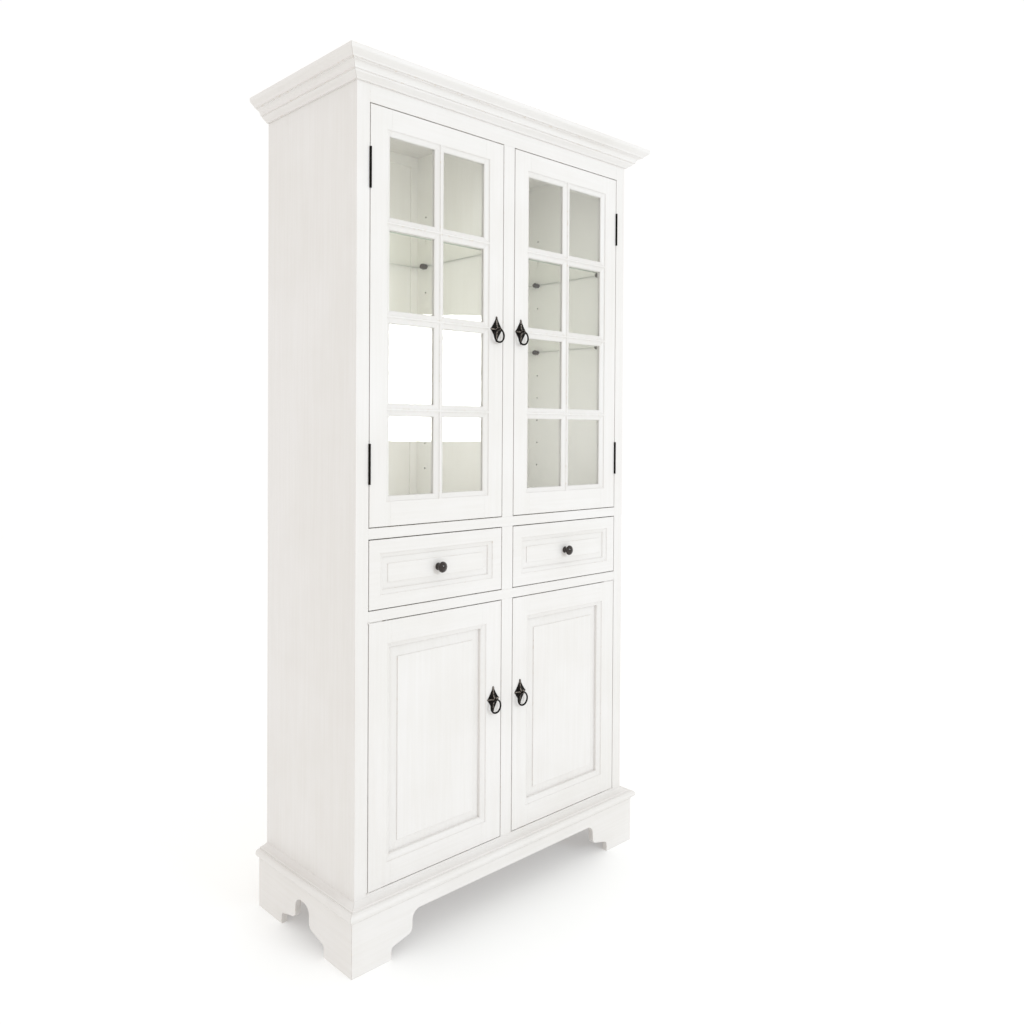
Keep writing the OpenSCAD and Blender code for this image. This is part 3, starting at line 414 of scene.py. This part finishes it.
def ground_glass(name, colour):
    """The ground and polished edge of a glass shelf."""
    material, s, surface = new_material(name, 0.35)
    place = s.place()
    streak = s.noise(s.vector("MULTIPLY", place, (0.1, 0.1, 1)), 1800.0, 3.0, 0.6)
    dim = tuple(c * 0.8 for c in colour[:3]) + (1,)
    s.feed(surface, Base_Color=s.mix(s.span(streak, 0.3, 0.7), tuple(colour[:3]) + (1,), dim),
           Normal=s.bump(streak, 0.0001, 0.4))
    return material


def studio_floor(colour, glow):
    """A pale floor, lit from below as well, so that shadows on it stay light."""
    material, s, surface = new_material("studio_floor", 0.6)
    drift = s.use(group("clouding"), Vector=s.place(), Size=1.4).outputs
    dim = tuple(c * 0.985 for c in colour[:3]) + (1,)
    s.feed(surface, Base_Color=s.mix(drift["Tone"], tuple(colour[:3]) + (1,), dim))
    surface.inputs["Emission Color"].default_value = (1, 1, 1, 1)
    surface.inputs["Emission Strength"].default_value = glow
    return material


FINISHES = {}


def finish(name, maker, *args, **kwargs):
    """A material, made the first time that it is asked for."""
    if name not in FINISHES:
        FINISHES[name] = maker(name, *args, **kwargs)
    return FINISHES[name]


# ---------------------------------------------------------------- mesh tools


def soften(node, finishes, radius, segments=2):
    """Gives a frame node its finishes and takes its edges off. The second finish is for the edges."""
    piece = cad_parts[node]
    piece.data.materials.clear()
    for material in finishes:
        piece.data.materials.append(material)
    if radius <= 0:
        return piece
    weld = piece.modifiers.new("weld", "WELD")
    weld.merge_threshold = 0.00001
    flat = piece.modifiers.new("flat_faces", "DECIMATE")
    flat.decimate_type = "DISSOLVE"
    flat.angle_limit = math.radians(0.6)
    edge = piece.modifiers.new("softened_edges", "BEVEL")
    edge.width = radius
    edge.segments = segments
    edge.limit_method = "ANGLE"
    edge.angle_limit = math.radians(32)
    edge.miter_outer = "MITER_SHARP"
    edge.use_clamp_overlap = True
    edge.harden_normals = True
    if len(finishes) > 1:
        edge.material = 1
    return piece


def to_object(name, shape, material, sharp=40):
    """An object from a bmesh, smooth except across edges sharper than that many degrees."""
    mesh = bpy.data.meshes.new(name)
    bmesh.ops.recalc_face_normals(shape, faces=shape.faces)
    shape.to_mesh(mesh)
    shape.free()
    mesh.materials.append(material)
    for face in mesh.polygons:
        face.use_smooth = True
    mesh.set_sharp_from_angle(angle=math.radians(sharp))
    piece = bpy.data.objects.new(name, mesh)
    bpy.context.scene.collection.objects.link(piece)
    return piece


def lathe(shape, profile, centre, axis, turns=40):
    """Turns (radius, height) points about an axis through centre, closed at both ends."""
    along = Vector(axis).normalized()
    across = along.orthogonal().normalized()
    other = along.cross(across)
    rings = []
    for radius, height in profile:
        middle = Vector(centre) + along * height
        if radius < 1e-7:
            rings.append([shape.verts.new(middle)])
            continue
        angles = [2 * math.pi * i / turns for i in range(turns)]
        rings.append([shape.verts.new(middle + radius * (math.cos(a) * across + math.sin(a) * other))
                      for a in angles])
    for low, high in zip(rings, rings[1:]):
        bridge(shape, low, high)
    for end in (rings[0], rings[-1]):
        if len(end) > 1:
            shape.faces.new(end)


def bridge(shape, low, high):
    """Joins two rings of vertices, one of which may be a single point."""
    count = max(len(low), len(high))
    for i in range(count):
        j = (i + 1) % count
        corners = [low[i % len(low)], low[j % len(low)], high[j % len(high)], high[i % len(high)]]
        unique = [v for k, v in enumerate(corners) if v not in corners[:k]]
        if len(unique) > 2:
            shape.faces.new(unique)


def sweep_ring(shape, centre, radius, bar, axis, turns=56, sides=16):
    """A closed round ring about an axis; bar is the bar's radius as a function of the angle."""
    along = Vector(axis).normalized()
    up = Vector((0, 0, 1)) if abs(along.z) < 0.9 else Vector((1, 0, 0))
    across = along.cross(up).normalized()
    loops = []
    for i in range(turns):
        a = 2 * math.pi * i / turns
        out = math.cos(a) * across + math.sin(a) * up
        thick = bar(a)
        loops.append([shape.verts.new(Vector(centre) + out * (radius + thick * math.cos(b))
                                      + along * (thick * math.sin(b)))
                      for b in (2 * math.pi * k / sides for k in range(sides))])
    for i in range(turns):
        bridge(shape, loops[i], loops[(i + 1) % turns])


def prism(shape, outline, low, high, place):
    """A closed prism on a 2-D outline; place turns (u, v, w) into a point in the frame."""
    bottom = [shape.verts.new(place(u, v, low)) for u, v in outline]
    top = [shape.verts.new(place(u, v, high)) for u, v in outline]
    bridge(shape, bottom, top)
    shape.faces.new(bottom)
    shape.faces.new(top)


def fit(piece, body, slot, *nodes):
    """The piece rides on a body and stands for frame nodes, which it hides. slot is not used."""
    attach(piece, body)
    if nodes:
        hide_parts(*nodes)
    return piece


def middle(node):
    low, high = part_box(node)
    return (low + high) / 2


def centre_of_handle(level, side):
    """The middle of a handle's back plate, on the face of its door."""
    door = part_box(f"{level}_{side}_door_frame")[0]
    plate = middle(f"{level}_{side}_door_plate")
    return Vector((plate.x, door.y, plate.z))


# ---------------------------------------------------------------- settings


class PaintSettings(bpy.types.PropertyGroup):
    """Paint inside and out."""

    outside: bpy.props.FloatVectorProperty(
        name="Outside", description="Paint on the outside, the doors and the drawer fronts",
        subtype="COLOR", default=(0.79, 0.768, 0.748), min=0, max=1)
    # The inside paint is the outside white made lighter: painted light for the interior.
    inside: bpy.props.FloatVectorProperty(
        name="Inside", description="Paint on the inside",
        subtype="COLOR", default=(0.885, 0.875, 0.840), min=0, max=1)
    gloss: bpy.props.FloatProperty(
        name="Roughness", description="Roughness of the satin paint",
        subtype="FACTOR", default=0.36, min=0, max=1)
    wear: bpy.props.FloatProperty(
        name="Wear", description="How far the paint is rubbed through along the edges",
        subtype="FACTOR", default=0.35, min=0, max=1)
    edge: bpy.props.FloatProperty(
        name="Edge", description="Radius that takes the edges off",
        unit="LENGTH", default=0.45 * MM, min=0, max=2 * MM)


class WoodSettings(bpy.types.PropertyGroup):
    """Bare boards of the drawer boxes."""

    colour: bpy.props.FloatVectorProperty(
        name="Wood", description="Colour of the bare wood",
        subtype="COLOR", default=(0.62, 0.46, 0.28), min=0, max=1)


class IronSettings(bpy.types.PropertyGroup):
    """Hinges, handles and knobs."""

    colour: bpy.props.FloatVectorProperty(
        name="Iron", description="Colour of the waxed ironwork",
        subtype="COLOR", default=(0.005, 0.0045, 0.004), min=0, max=1)
    bronze: bpy.props.FloatVectorProperty(
        name="Bronze", description="Colour of the shelf clamps",
        subtype="COLOR", default=(0.075, 0.06, 0.042), min=0, max=1)
    steel: bpy.props.FloatVectorProperty(
        name="Steel", description="Colour of the pegs and catches",
        subtype="COLOR", default=(0.58, 0.58, 0.57), min=0, max=1)


class GlassSettings(bpy.types.PropertyGroup):
    """Panes and glass shelves."""

    panes: bpy.props.FloatVectorProperty(
        name="Panes", description="Tint of the panes",
        subtype="COLOR", default=(0.986, 0.992, 0.986), min=0, max=1)
    shelves: bpy.props.FloatVectorProperty(
        name="Shelves", description="Tint of the glass shelves",
        subtype="COLOR", default=(0.93, 0.938, 0.90), min=0, max=1)
    edge: bpy.props.FloatVectorProperty(
        name="Shelf edge", description="Colour of the shelves' ground edges",
        subtype="COLOR", default=(0.30, 0.35, 0.29), min=0, max=1)


class StudioSettings(bpy.types.PropertyGroup):
    """Camera, light and floor."""

    camera: bpy.props.FloatVectorProperty(
        name="Camera", description="Where the camera stands",
        subtype="TRANSLATION", unit="LENGTH", default=(-1.6587, -1.8018, 1.2453))
    heading: bpy.props.FloatProperty(
        name="Heading", description="Turn of the camera from straight ahead towards +X",
        unit="ROTATION", default=math.radians(41.98))
    pitch: bpy.props.FloatProperty(
        name="Pitch", description="Tilt of the camera above the level",
        unit="ROTATION", default=math.radians(-0.74))
    roll: bpy.props.FloatProperty(
        name="Roll", description="Roll of the camera",
        unit="ROTATION", default=math.radians(0.29))
    lens: bpy.props.FloatProperty(
        name="Lens", description="Focal length on a 36 mm sensor, in millimetres", default=30.62, min=10)
    shift: bpy.props.FloatVectorProperty(
        name="Shift", description="Lens shift, as a share of the frame", size=2, default=(0.0558, -0.0675))
    ambient: bpy.props.FloatProperty(
        name="Ambient", description="Strength of the light from all round", default=1.02, min=0)
    key: bpy.props.FloatProperty(
        name="Key", description="Power of the large light in front", unit="POWER", default=41, min=0)
    window: bpy.props.FloatProperty(
        name="Window", description="Power of the bright window that only the panes reflect",
        unit="POWER", default=24, min=0)
    window_place: bpy.props.FloatVectorProperty(
        name="Window place", description="Where the window stands",
        subtype="TRANSLATION", unit="LENGTH", default=(1.801, -2.539, 1.57))
    window_size: bpy.props.FloatVectorProperty(
        name="Window size", description="Width and height of the window",
        unit="LENGTH", size=2, default=(0.925, 0.77))
    fill: bpy.props.FloatProperty(
        name="Fill", description="Power of the soft light that enters the left glazed bay",
        unit="POWER", default=1.0, min=0)
    fill_right: bpy.props.FloatProperty(
        name="Fill at the right", description="Power of the soft light that enters the right glazed bay",
        unit="POWER", default=0.72, min=0)
    floor: bpy.props.FloatVectorProperty(
        name="Floor", description="Colour of the floor",
        subtype="COLOR", default=(0.66, 0.66, 0.65), min=0, max=1)
    glow: bpy.props.FloatProperty(
        name="Glow", description="Light that the floor gives off itself", default=0.35, min=0)


class CabinetSettings(bpy.types.PropertyGroup):
    """All the settings of the cabinet."""

    paint: bpy.props.PointerProperty(type=PaintSettings)
    wood: bpy.props.PointerProperty(type=WoodSettings)
    iron: bpy.props.PointerProperty(type=IronSettings)
    glass: bpy.props.PointerProperty(type=GlassSettings)
    studio: bpy.props.PointerProperty(type=StudioSettings)


# ---------------------------------------------------------------- operators


def outside_finishes(settings, run, rails=None, label="", **marks):
    paint = settings.paint
    key = f"white_paint_{run}{label}"
    return [finish(key, painted, paint.outside, run, rails, paint.gloss, **marks),
            finish(key + "_edges", painted, paint.outside, run, rails, paint.gloss, 0.9, paint.wear, **marks)]


class CarcassOperator(bpy.types.Operator):
    """Paints the carcass, the face frame, the cornice, the base and the plinth."""

    bl_idname = "cabinet.carcass"
    bl_label = "Carcass"

    def execute(self, context):
        settings = context.scene.cabinet
        edge = settings.paint.edge
        frames = {"upright": ("face_stiles", "face_mullions"), "level": ("face_rails", "top_panel")}
        for run, nodes in frames.items():
            for node in nodes:
                soften(node, outside_finishes(settings, run), edge)
        # The side panels' inner faces take the lighter inside paint, which is painted light.
        inner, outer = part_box("side_panel_right")[0].x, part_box("side_panel_right")[1].x
        # Their peg holes take the dark bare wood, which is painted shade.
        sides = outside_finishes(settings, "upright", None, "_sides",
                                 lining=(inner + 0.05 * MM, settings.paint.inside),
                                 bored=(inner + 0.1 * MM, inner + SHELF_HOLE_DEPTH))
        for side in SIDES:
            soften(f"side_panel_{side}", sides, edge)
        # The plinth's inner faces take the dark unpainted wood, which is painted shade.
        front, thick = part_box("plinth_front"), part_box("plinth_front")[1].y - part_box("plinth_front")[0].y
        # The crevice line above the plinth is partly painted shade.
        joints = {"mitre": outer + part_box("face_stiles")[0].y, "crevice": front[1].z,
                  "raw": (front[1].x - thick + 0.1 * MM, front[1].y - 0.1 * MM, front[1].z - 0.1 * MM)}
        for run, nodes in {
            "level": ("cornice_front", "base_moulding_front", "plinth_front"),
            "deep": ("cornice_returns", "base_moulding_returns", "plinth_sides"),
        }.items():
            mitred = outside_finishes(settings, run, None, "_mitred", **joints)
            for node in nodes:
                soften(node, mitred, edge)
        return {"FINISHED"}


class InsideOperator(bpy.types.Operator):
    """Paints the inside: partitions, decks, back and lower shelves."""

    bl_idname = "cabinet.inside"
    bl_label = "Inside"

    def execute(self, context):
        paint = context.scene.cabinet.paint
        # The inside paint here is the lighter copy of the white: painted light.
        runs = {
            "upright": ("back_stiles", "back_panels"),
            "level": ("decks", "back_rails", "lower_shelves"),
        }
        # The decks' undersides take the dark unpainted wood, which is painted shade.
        under = (1.0, -1.0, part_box("decks")[0].z + 0.1 * MM)
        for run, nodes in runs.items():
            coat = finish(f"inside_paint_{run}", painted, paint.inside, run, None, paint.gloss + 0.12,
                          raw=under)
            for node in nodes:
                soften(node, [coat], paint.edge * 0.8)
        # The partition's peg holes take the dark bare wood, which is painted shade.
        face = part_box("centre_partitions")[1].x
        bored = finish("inside_paint_bored", painted, paint.inside, "upright", None, paint.gloss + 0.12,
                       bored=(-1.0, face - 0.1 * MM))
        soften("centre_partitions", [bored], paint.edge * 0.8)
        return {"FINISHED"}


class DoorsOperator(bpy.types.Operator):
    """Paints the doors' frames, bars, beads and panels, and the drawer fronts."""

    bl_idname = "cabinet.doors"
    bl_label = "Doors and drawer fronts"

    def execute(self, context):
        settings = context.scene.cabinet
        edge = settings.paint.edge
        for side in SIDES:
            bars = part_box(f"upper_{side}_door_bars")
            level = outside_finishes(settings, "level")
            upright = outside_finishes(settings, "upright")
            split = outside_finishes(settings, "upright", (bars[0].x, bars[1].x), f"_upper_{side}")
            soften(f"upper_{side}_door_frame", split, edge)
            soften(f"upper_{side}_door_bars", upright, edge * 0.8)
            soften(f"upper_{side}_door_beads", upright, edge * 0.6)
            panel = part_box(f"lower_{side}_door_panel")
            split = outside_finishes(settings, "upright", (panel[0].x, panel[1].x), f"_lower_{side}")
            soften(f"lower_{side}_door_frame", split, edge)
            soften(f"lower_{side}_door_panel", upright, edge * 0.8)
            soften(f"lower_{side}_door_pivot_plates", upright[:1], 0)
            soften(f"{side}_drawer_front", level, edge * 0.8)
        soften("pivot_hinge_frame_plates", outside_finishes(settings, "level")[:1], 0)
        return {"FINISHED"}


class BareWoodOperator(bpy.types.Operator):
    """Gives the drawer boxes, guides and plinth blocks their bare wood."""

    bl_idname = "cabinet.bare_wood"
    bl_label = "Bare wood"

    def execute(self, context):
        settings = context.scene.cabinet
        colour = settings.wood.colour
        deep = finish("bare_wood_deep", bare_wood, colour, "deep")
        upright = finish("bare_wood_upright", bare_wood, colour, "upright")
        for side in SIDES:
            soften(f"{side}_drawer_box", [deep], 0.6 * MM)
            soften(f"{side}_drawer_bottom", [deep], 0)
        soften("drawer_guides", [deep], 0.5 * MM)
        soften("plinth_corner_blocks", [upright], 0.8 * MM)
        soften("plinth_back", [finish("bare_wood_level", bare_wood, colour, "level")], 0.8 * MM)
        return {"FINISHED"}


class GlassOperator(bpy.types.Operator):
    """Glazes the doors and the shelves."""

    bl_idname = "cabinet.glass"
    bl_label = "Glass"

    def execute(self, context):
        glass = context.scene.cabinet.glass
        for side in SIDES:
            soften(f"upper_{side}_door_panes", [finish("pane_glass", glazing, glass.panes)], 0)
        shelf = [finish("shelf_glass", glazing, glass.shelves, 0.0001),
                 finish("shelf_edge", ground_glass, glass.edge)]
        soften("glass_shelves", shelf, 2.9 * MM, 3)
        return {"FINISHED"}


class HingesOperator(bpy.types.Operator):
    """Blackens the butt hinges."""

    bl_idname = "cabinet.hinges"
    bl_label = "Butt hinges"

    def execute(self, context):
        iron = finish("black_iron", forged, context.scene.cabinet.iron.colour)
        soften("butt_hinge_frame_leaves", [iron], 0.25 * MM)
        for side in SIDES:
            soften(f"upper_{side}_door_hinge_leaves", [iron], 0.25 * MM)
        return {"FINISHED"}


class RingsOperator(bpy.types.Operator):
    """Forges the drop rings, a little thicker where they hang lowest."""

    bl_idname = "cabinet.rings"
    bl_label = "Drop rings"

    def execute(self, context):
        iron = finish("black_iron", forged, context.scene.cabinet.iron.colour)
        for level in LEVELS:
            for side in SIDES:
                node = f"{level}_{side}_door_ring"
                low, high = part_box(node)
                bar = (high.y - low.y) / 2
                shape = bmesh.new()
                sweep_ring(shape, (low + high) / 2, (high.x - low.x) / 2 - bar,
                           lambda a: bar * (0.94 - 0.05 * math.sin(a) + 0.012 * math.sin(9 * a)), (0, 1, 0))
                fit(to_object(f"{level}_{side}_drop_ring", shape, iron), f"{level}_{side}_ring",
                    "black_iron", node)
        return {"FINISHED"}


def plate_outline(half_w, half_h, count=128):
    """A lozenge with hollow sides and rounded buds at its points, as (u, v, angle)."""
    hollow = 2.3
    points = []
    for i in range(count):
        a = 2 * math.pi * i / count
        c, s = math.cos(a), math.sin(a)
        u = math.copysign(half_w * abs(c) ** hollow, c)
        v = math.copysign(half_h * abs(s) ** hollow, s)
        points.append((bud(u, v / half_h, 0.80, 2.6 * MM, c), bud(v, u / half_w, 0.84, 1.9 * MM, s), a))
    return points


def bud(width, share, start, radius, sign):
    """Widens a point's width to a round bud where the share of its reach passes start."""
    along = (abs(share) - start) / (1 - start)
    if along <= 0:
        return width
    return math.copysign(max(abs(width), radius * math.sqrt(max(0.0, 1 - (2 * along - 1) ** 2))), sign)


class PlatesOperator(bpy.types.Operator):
    """Forges the lozenge plates with their bosses, eyes and nuts."""

    bl_idname = "cabinet.plates"
    bl_label = "Handle plates"

    def execute(self, context):
        colour = context.scene.cabinet.iron.colour
        for level in LEVELS:
            centre = centre_of_handle(level, "right")
            # Each level's plate finish carries a painted highlight along its ridges.
            iron = finish(f"plate_iron_{level}", forged, colour, ridges=(centre.x, centre.z))
            for side in SIDES:
                piece = self.plate(level, side, iron)
                fit(piece, f"{level}_{side}_door", "black_iron", f"{level}_{side}_door_plate")
        return {"FINISHED"}

    def plate(self, level, side, iron):
        node = f"{level}_{side}_door_plate"
        centre = centre_of_handle(level, side)
        low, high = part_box(node)
        ring = middle(f"{level}_{side}_door_ring")
        half_w, half_h = (high.x - low.x) / 2, (high.z - low.z) / 2
        outline = plate_outline(half_w - 0.2 * MM, half_h - 0.2 * MM)
        shape = bmesh.new()
        steps = [(1.0, 0.0), (1.0, 1.5), (0.965, 2.1), (0.91, 2.15), (0.87, 1.5), (0.82, 1.2), (0.76, 1.35),
                 (0.66, 1.7), (0.55, 2.1), (0.44, 2.6), (0.34, 3.2)]
        loops = []
        for share, rise in steps:
            spine = max(0.0, min(1.0, (0.85 - share) / 0.2))
            loops.append([shape.verts.new((centre.x + u * share,
                                           centre.y - (rise + 0.9 * spine * abs(math.cos(2 * a)) ** 14) * MM,
                                           centre.z + v * share))
                          for u, v, a in outline])
        for under, over in zip(loops, loops[1:]):
            bridge(shape, under, over)
        shape.faces.new(loops[0])
        shape.faces.new(loops[-1])
        boss = [(7.4, 1.6), (7.6, 2.6), (7.0, 3.6), (5.6, 4.9), (4.0, 5.9), (3.1, 6.8), (2.7, 8.0),
                (2.55, 9.4)]
        out = Vector((0, -1, 0))
        lathe(shape, [(r * MM, h * MM) for r, h in [(0, 1.6)] + boss + [(0, 9.4)]], centre, out, 32)
        eye = Vector((centre.x, ring.y, centre.z))
        sweep_ring(shape, eye, 3.95 * MM, lambda a: 1.05 * MM, (1, 0, 0), turns=32, sides=12)
        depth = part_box(f"{level}_{side}_door_frame")[1].y - centre.y
        self.fixing(shape, centre, depth)
        return to_object(f"{level}_{side}_handle_plate", shape, iron, 32)

    def fixing(self, shape, centre, depth):
        """The bolt through the door, with its washer and hexagonal nut at the back."""
        bolt = [(0, 0), (2.4, 0), (2.4, depth / MM + 4.2), (1.8, depth / MM + 4.9), (0, depth / MM + 4.9)]
        washer = [(0, 0), (6.2, 0), (6.2, 0.6), (5.9, 0.8), (0, 0.8)]
        nut = [(0, 0.7), (4.6, 0.7), (5.0, 1.1), (5.0, 3.2), (4.5, 3.5), (0, 3.5)]
        for profile, start, turns in ((bolt, 0, 24), (washer, depth, 28), (nut, depth, 6)):
            lathe(shape, [(r * MM, start + h * MM) for r, h in profile], centre, (0, 1, 0), turns)


class KnobsOperator(bpy.types.Operator):
    """Turns the drawer knobs."""

    bl_idname = "cabinet.knobs"
    bl_label = "Drawer knobs"

    def execute(self, context):
        iron = finish("turned_bronze", forged, KNOB_BRONZE, 0.012, 0.8, 0.2, lacquer=0.8)
        for side in SIDES:
            node = f"{side}_drawer_knob"
            low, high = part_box(node)
            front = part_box(f"{side}_drawer_front")
            centre = (low + high) / 2
            rise = (front[0].y - low.y) / MM + 5.5
            wide, tall = (high.x - low.x) / 2 / (14 * MM), rise / 26.5
            profile = [(0, 0.02), (9.3, 0.02), (9.6, 0.5), (9.5, 1.2), (9.0, 1.6), (8.7, 2.0), (8.6, 2.6),
                       (8.1, 3.6), (7.7, 5.0), (7.4, 6.6), (7.4, 8.4), (7.8, 10.0), (8.6, 11.6), (9.8, 13.0),
                       (11.3, 14.1), (12.7, 15.0), (13.6, 16.1), (13.95, 17.3), (13.7, 18.6), (12.9, 20.0),
                       (11.3, 21.7), (9.0, 23.4), (6.4, 24.8), (3.4, 25.9), (1.2, 26.4), (0, 26.5)]
            shape = bmesh.new()
            seat = Vector((centre.x, low.y + rise * MM, centre.z))
            lathe(shape, [(r * MM * wide, h * MM * tall) for r, h in profile], seat, (0, -1, 0), 48)
            back = front[1].y - seat.y
            screw = [(0, -0.1), (2.4, -0.1), (2.4, back / MM + 0.2), (0, back / MM + 0.2)]
            head = [(0, 0.02), (4.6, 0.02), (4.7, 0.8), (4.2, 1.7), (2.6, 2.2), (0, 2.3)]
            for outline, start, turns in ((screw, 0, 20), (head, back, 28)):
                lathe(shape, [(r * MM, start + h * MM) for r, h in outline], seat, (0, 1, 0), turns)
            knob = to_object(f"{side}_drawer_turned_knob", shape, iron, 38)
            fit(knob, f"{side}_drawer", "black_iron", node)
        return {"FINISHED"}


class ClampsOperator(bpy.types.Operator):
    """Makes the round clamps that hold the glass shelves."""

    bl_idname = "cabinet.clamps"
    bl_label = "Shelf clamps"

    def execute(self, context):
        bronze = finish("clamp_bronze", plated, context.scene.cabinet.iron.bronze)
        shelf_low, shelf_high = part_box("glass_shelves")
        low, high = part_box("glass_shelf_clamps")
        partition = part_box("centre_partitions")[1].x
        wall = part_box("side_panel_right")[0].x
        rows = (shelf_low.z + SHELF_THICK / 2, shelf_high.z - SHELF_THICK / 2)
        radius = rows[0] - low.z
        columns = (low.y + radius, high.y - radius)
        shape = bmesh.new()
        for hand in (-1, 1):
            for start, towards in ((partition, 1), (wall, -1)):
                for y in columns:
                    for z in rows:
                        self.clamp(shape, Vector((hand * start, y, z)), hand * towards, radius)
        piece = to_object("shelf_clamps", shape, bronze, 30)
        edge = piece.modifiers.new("turned_edges", "BEVEL")
        edge.width = 0.5 * MM
        edge.segments = 2
        edge.angle_limit = math.radians(40)
        fit(piece, "cabinet", "dark_bronze", "glass_shelf_clamps")
        return {"FINISHED"}

    def clamp(self, shape, seat, towards, radius):
        """One clamp: a disc on the wall, two jaws round the glass, a stud and a grub screw."""
        place = lambda u, v, w: seat + Vector((towards * w, u, v))
        turns = 28
        circle = [(radius * math.cos(2 * math.pi * i / turns), radius * math.sin(2 * math.pi * i / turns))
                  for i in range(turns)]
        prism(shape, circle, 0, 1.95 * MM, place)
        start = math.asin(SHELF_THICK / 2 / radius)
        for flip in (-1, 1):
            arc = [(radius * math.cos(a), flip * radius * math.sin(a))
                   for a in (start + (math.pi - 2 * start) * i / 14 for i in range(15))]
            prism(shape, arc, 1.9 * MM, CLAMP_REACH, place)
        lathe(shape, [(0, 0), (2.3 * MM, 0), (2.3 * MM, 5 * MM), (0, 5 * MM)],
              seat - Vector((0, 0, 5 * MM)), (-towards, 0, 0), 16)
        grub = seat + Vector((towards * 9.5 * MM, 0, -radius + 0.6 * MM))
        lathe(shape, [(0, 0), (2.2 * MM, 0), (2.2 * MM, 1.9 * MM), (1.9 * MM, 2.2 * MM), (1.1 * MM, 2.2 * MM),
                      (1.0 * MM, 1.2 * MM), (0, 1.2 * MM)], grub, (0, 0, -1), 18)


class SmallSteelOperator(bpy.types.Operator):
    """Plates the shelf pegs and the door catches."""

    bl_idname = "cabinet.small_steel"
    bl_label = "Pegs and catches"

    def execute(self, context):
        steel = finish("zinc_steel", plated, context.scene.cabinet.iron.steel)
        soften("lower_shelf_pegs", [steel], 0)
        soften("door_catches", [steel], 0.8 * MM)
        return {"FINISHED"}


class StudioOperator(bpy.types.Operator):
    """Sets up the camera, the floor and the light."""

    bl_idname = "cabinet.studio"
    bl_label = "Studio"

    def execute(self, context):
        studio = context.scene.cabinet.studio
        self.camera(context, studio)
        floor = bmesh.new()
        bmesh.ops.create_grid(floor, x_segments=8, y_segments=8, size=9)
        ground = to_object("studio_floor", floor, studio_floor(studio.floor, studio.glow))
        ground.location.z = CAD_BOX[0][2]
        world = bpy.data.worlds.new("studio_air")
        world.use_nodes = True
        world.node_tree.nodes["Background"].inputs["Color"].default_value = AIR
        world.node_tree.nodes["Background"].inputs["Strength"].default_value = studio.ambient
        context.scene.world = world
        context.scene.view_settings.view_transform = "Standard"
        self.softbox("key_light", (0.4, -4.4, 2.4), (0.1, 0, 1.1), (1.1, 0.9), studio.key, KEY_TINT)
        height = studio.window_place[2]
        window = self.softbox("window_light", studio.window_place, (0.0, -0.16, height), studio.window_size,
                              studio.window)
        panes = bpy.data.collections.new("panes")
        for side in SIDES:
            panes.objects.link(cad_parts[f"upper_{side}_door_panes"])
        window.light_linking.receiver_collection = panes
        for side, power in (("left", studio.fill), ("right", studio.fill_right)):
            pane = middle(f"upper_{side}_door_panes")
            low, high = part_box(f"upper_{side}_door_panes")
            self.softbox(f"{side}_bay_fill", (pane.x, high.y + 0.01, pane.z), (pane.x, 1, pane.z),
                         (high.x - low.x, high.z - low.z), power, seen=False)
        return {"FINISHED"}

    def camera(self, context, studio):
        ahead = Vector((math.sin(studio.heading) * math.cos(studio.pitch),
                        math.cos(studio.heading) * math.cos(studio.pitch), math.sin(studio.pitch)))
        right = Vector((math.cos(studio.heading), -math.sin(studio.heading), 0))
        up = right.cross(ahead)
        turned = math.cos(studio.roll) * right + math.sin(studio.roll) * up
        data = bpy.data.cameras.new("camera")
        data.lens = studio.lens
        data.sensor_width = 36
        data.shift_x, data.shift_y = studio.shift
        data.clip_end = 60
        camera = bpy.data.objects.new("camera", data)
        context.scene.collection.objects.link(camera)
        axes = Matrix((turned, turned.cross(ahead), -ahead)).transposed()
        camera.matrix_world = Matrix.Translation(Vector(studio.camera)) @ axes.to_4x4()
        context.scene.camera = camera

    def softbox(self, name, place, aim, size, power, colour=(1, 1, 1), seen=True):
        data = bpy.data.lights.new(name, "AREA")
        data.shape = "RECTANGLE"
        data.size, data.size_y = size
        data.energy = power
        data.color = colour
        light = bpy.data.objects.new(name, data)
        light.location = place
        light.visible_camera = light.visible_glossy = light.visible_transmission = seen
        light.rotation_euler = (Vector(aim) - Vector(place)).to_track_quat("-Z", "Y").to_euler()
        bpy.context.scene.collection.objects.link(light)
        return light


class CabinetPanel(bpy.types.Panel):
    """Lists the cabinet's steps in the sidebar."""

    bl_idname = "VIEW3D_PT_cabinet"
    bl_label = "Display cabinet"
    bl_space_type = "VIEW_3D"
    bl_region_type = "UI"
    bl_category = "Cabinet"

    def draw(self, context):
        for step in STEPS:
            self.layout.operator(step.bl_idname)


SETTINGS = (PaintSettings, WoodSettings, IronSettings, GlassSettings, StudioSettings, CabinetSettings)
STEPS = (StudioOperator, CarcassOperator, InsideOperator, DoorsOperator, BareWoodOperator, GlassOperator,
         HingesOperator, RingsOperator, PlatesOperator, KnobsOperator, ClampsOperator, SmallSteelOperator)


def register():
    for kind in SETTINGS + STEPS + (CabinetPanel,):
        bpy.utils.register_class(kind)
    bpy.types.Scene.cabinet = bpy.props.PointerProperty(type=CabinetSettings)


def unregister():
    del bpy.types.Scene.cabinet
    for kind in reversed(SETTINGS + STEPS + (CabinetPanel,)):
        bpy.utils.unregister_class(kind)


def main():
    register()
    for step in STEPS:
        group_name, call = step.bl_idname.split(".")
        getattr(getattr(bpy.ops, group_name), call)()


if __name__ == "__main__":
    main()
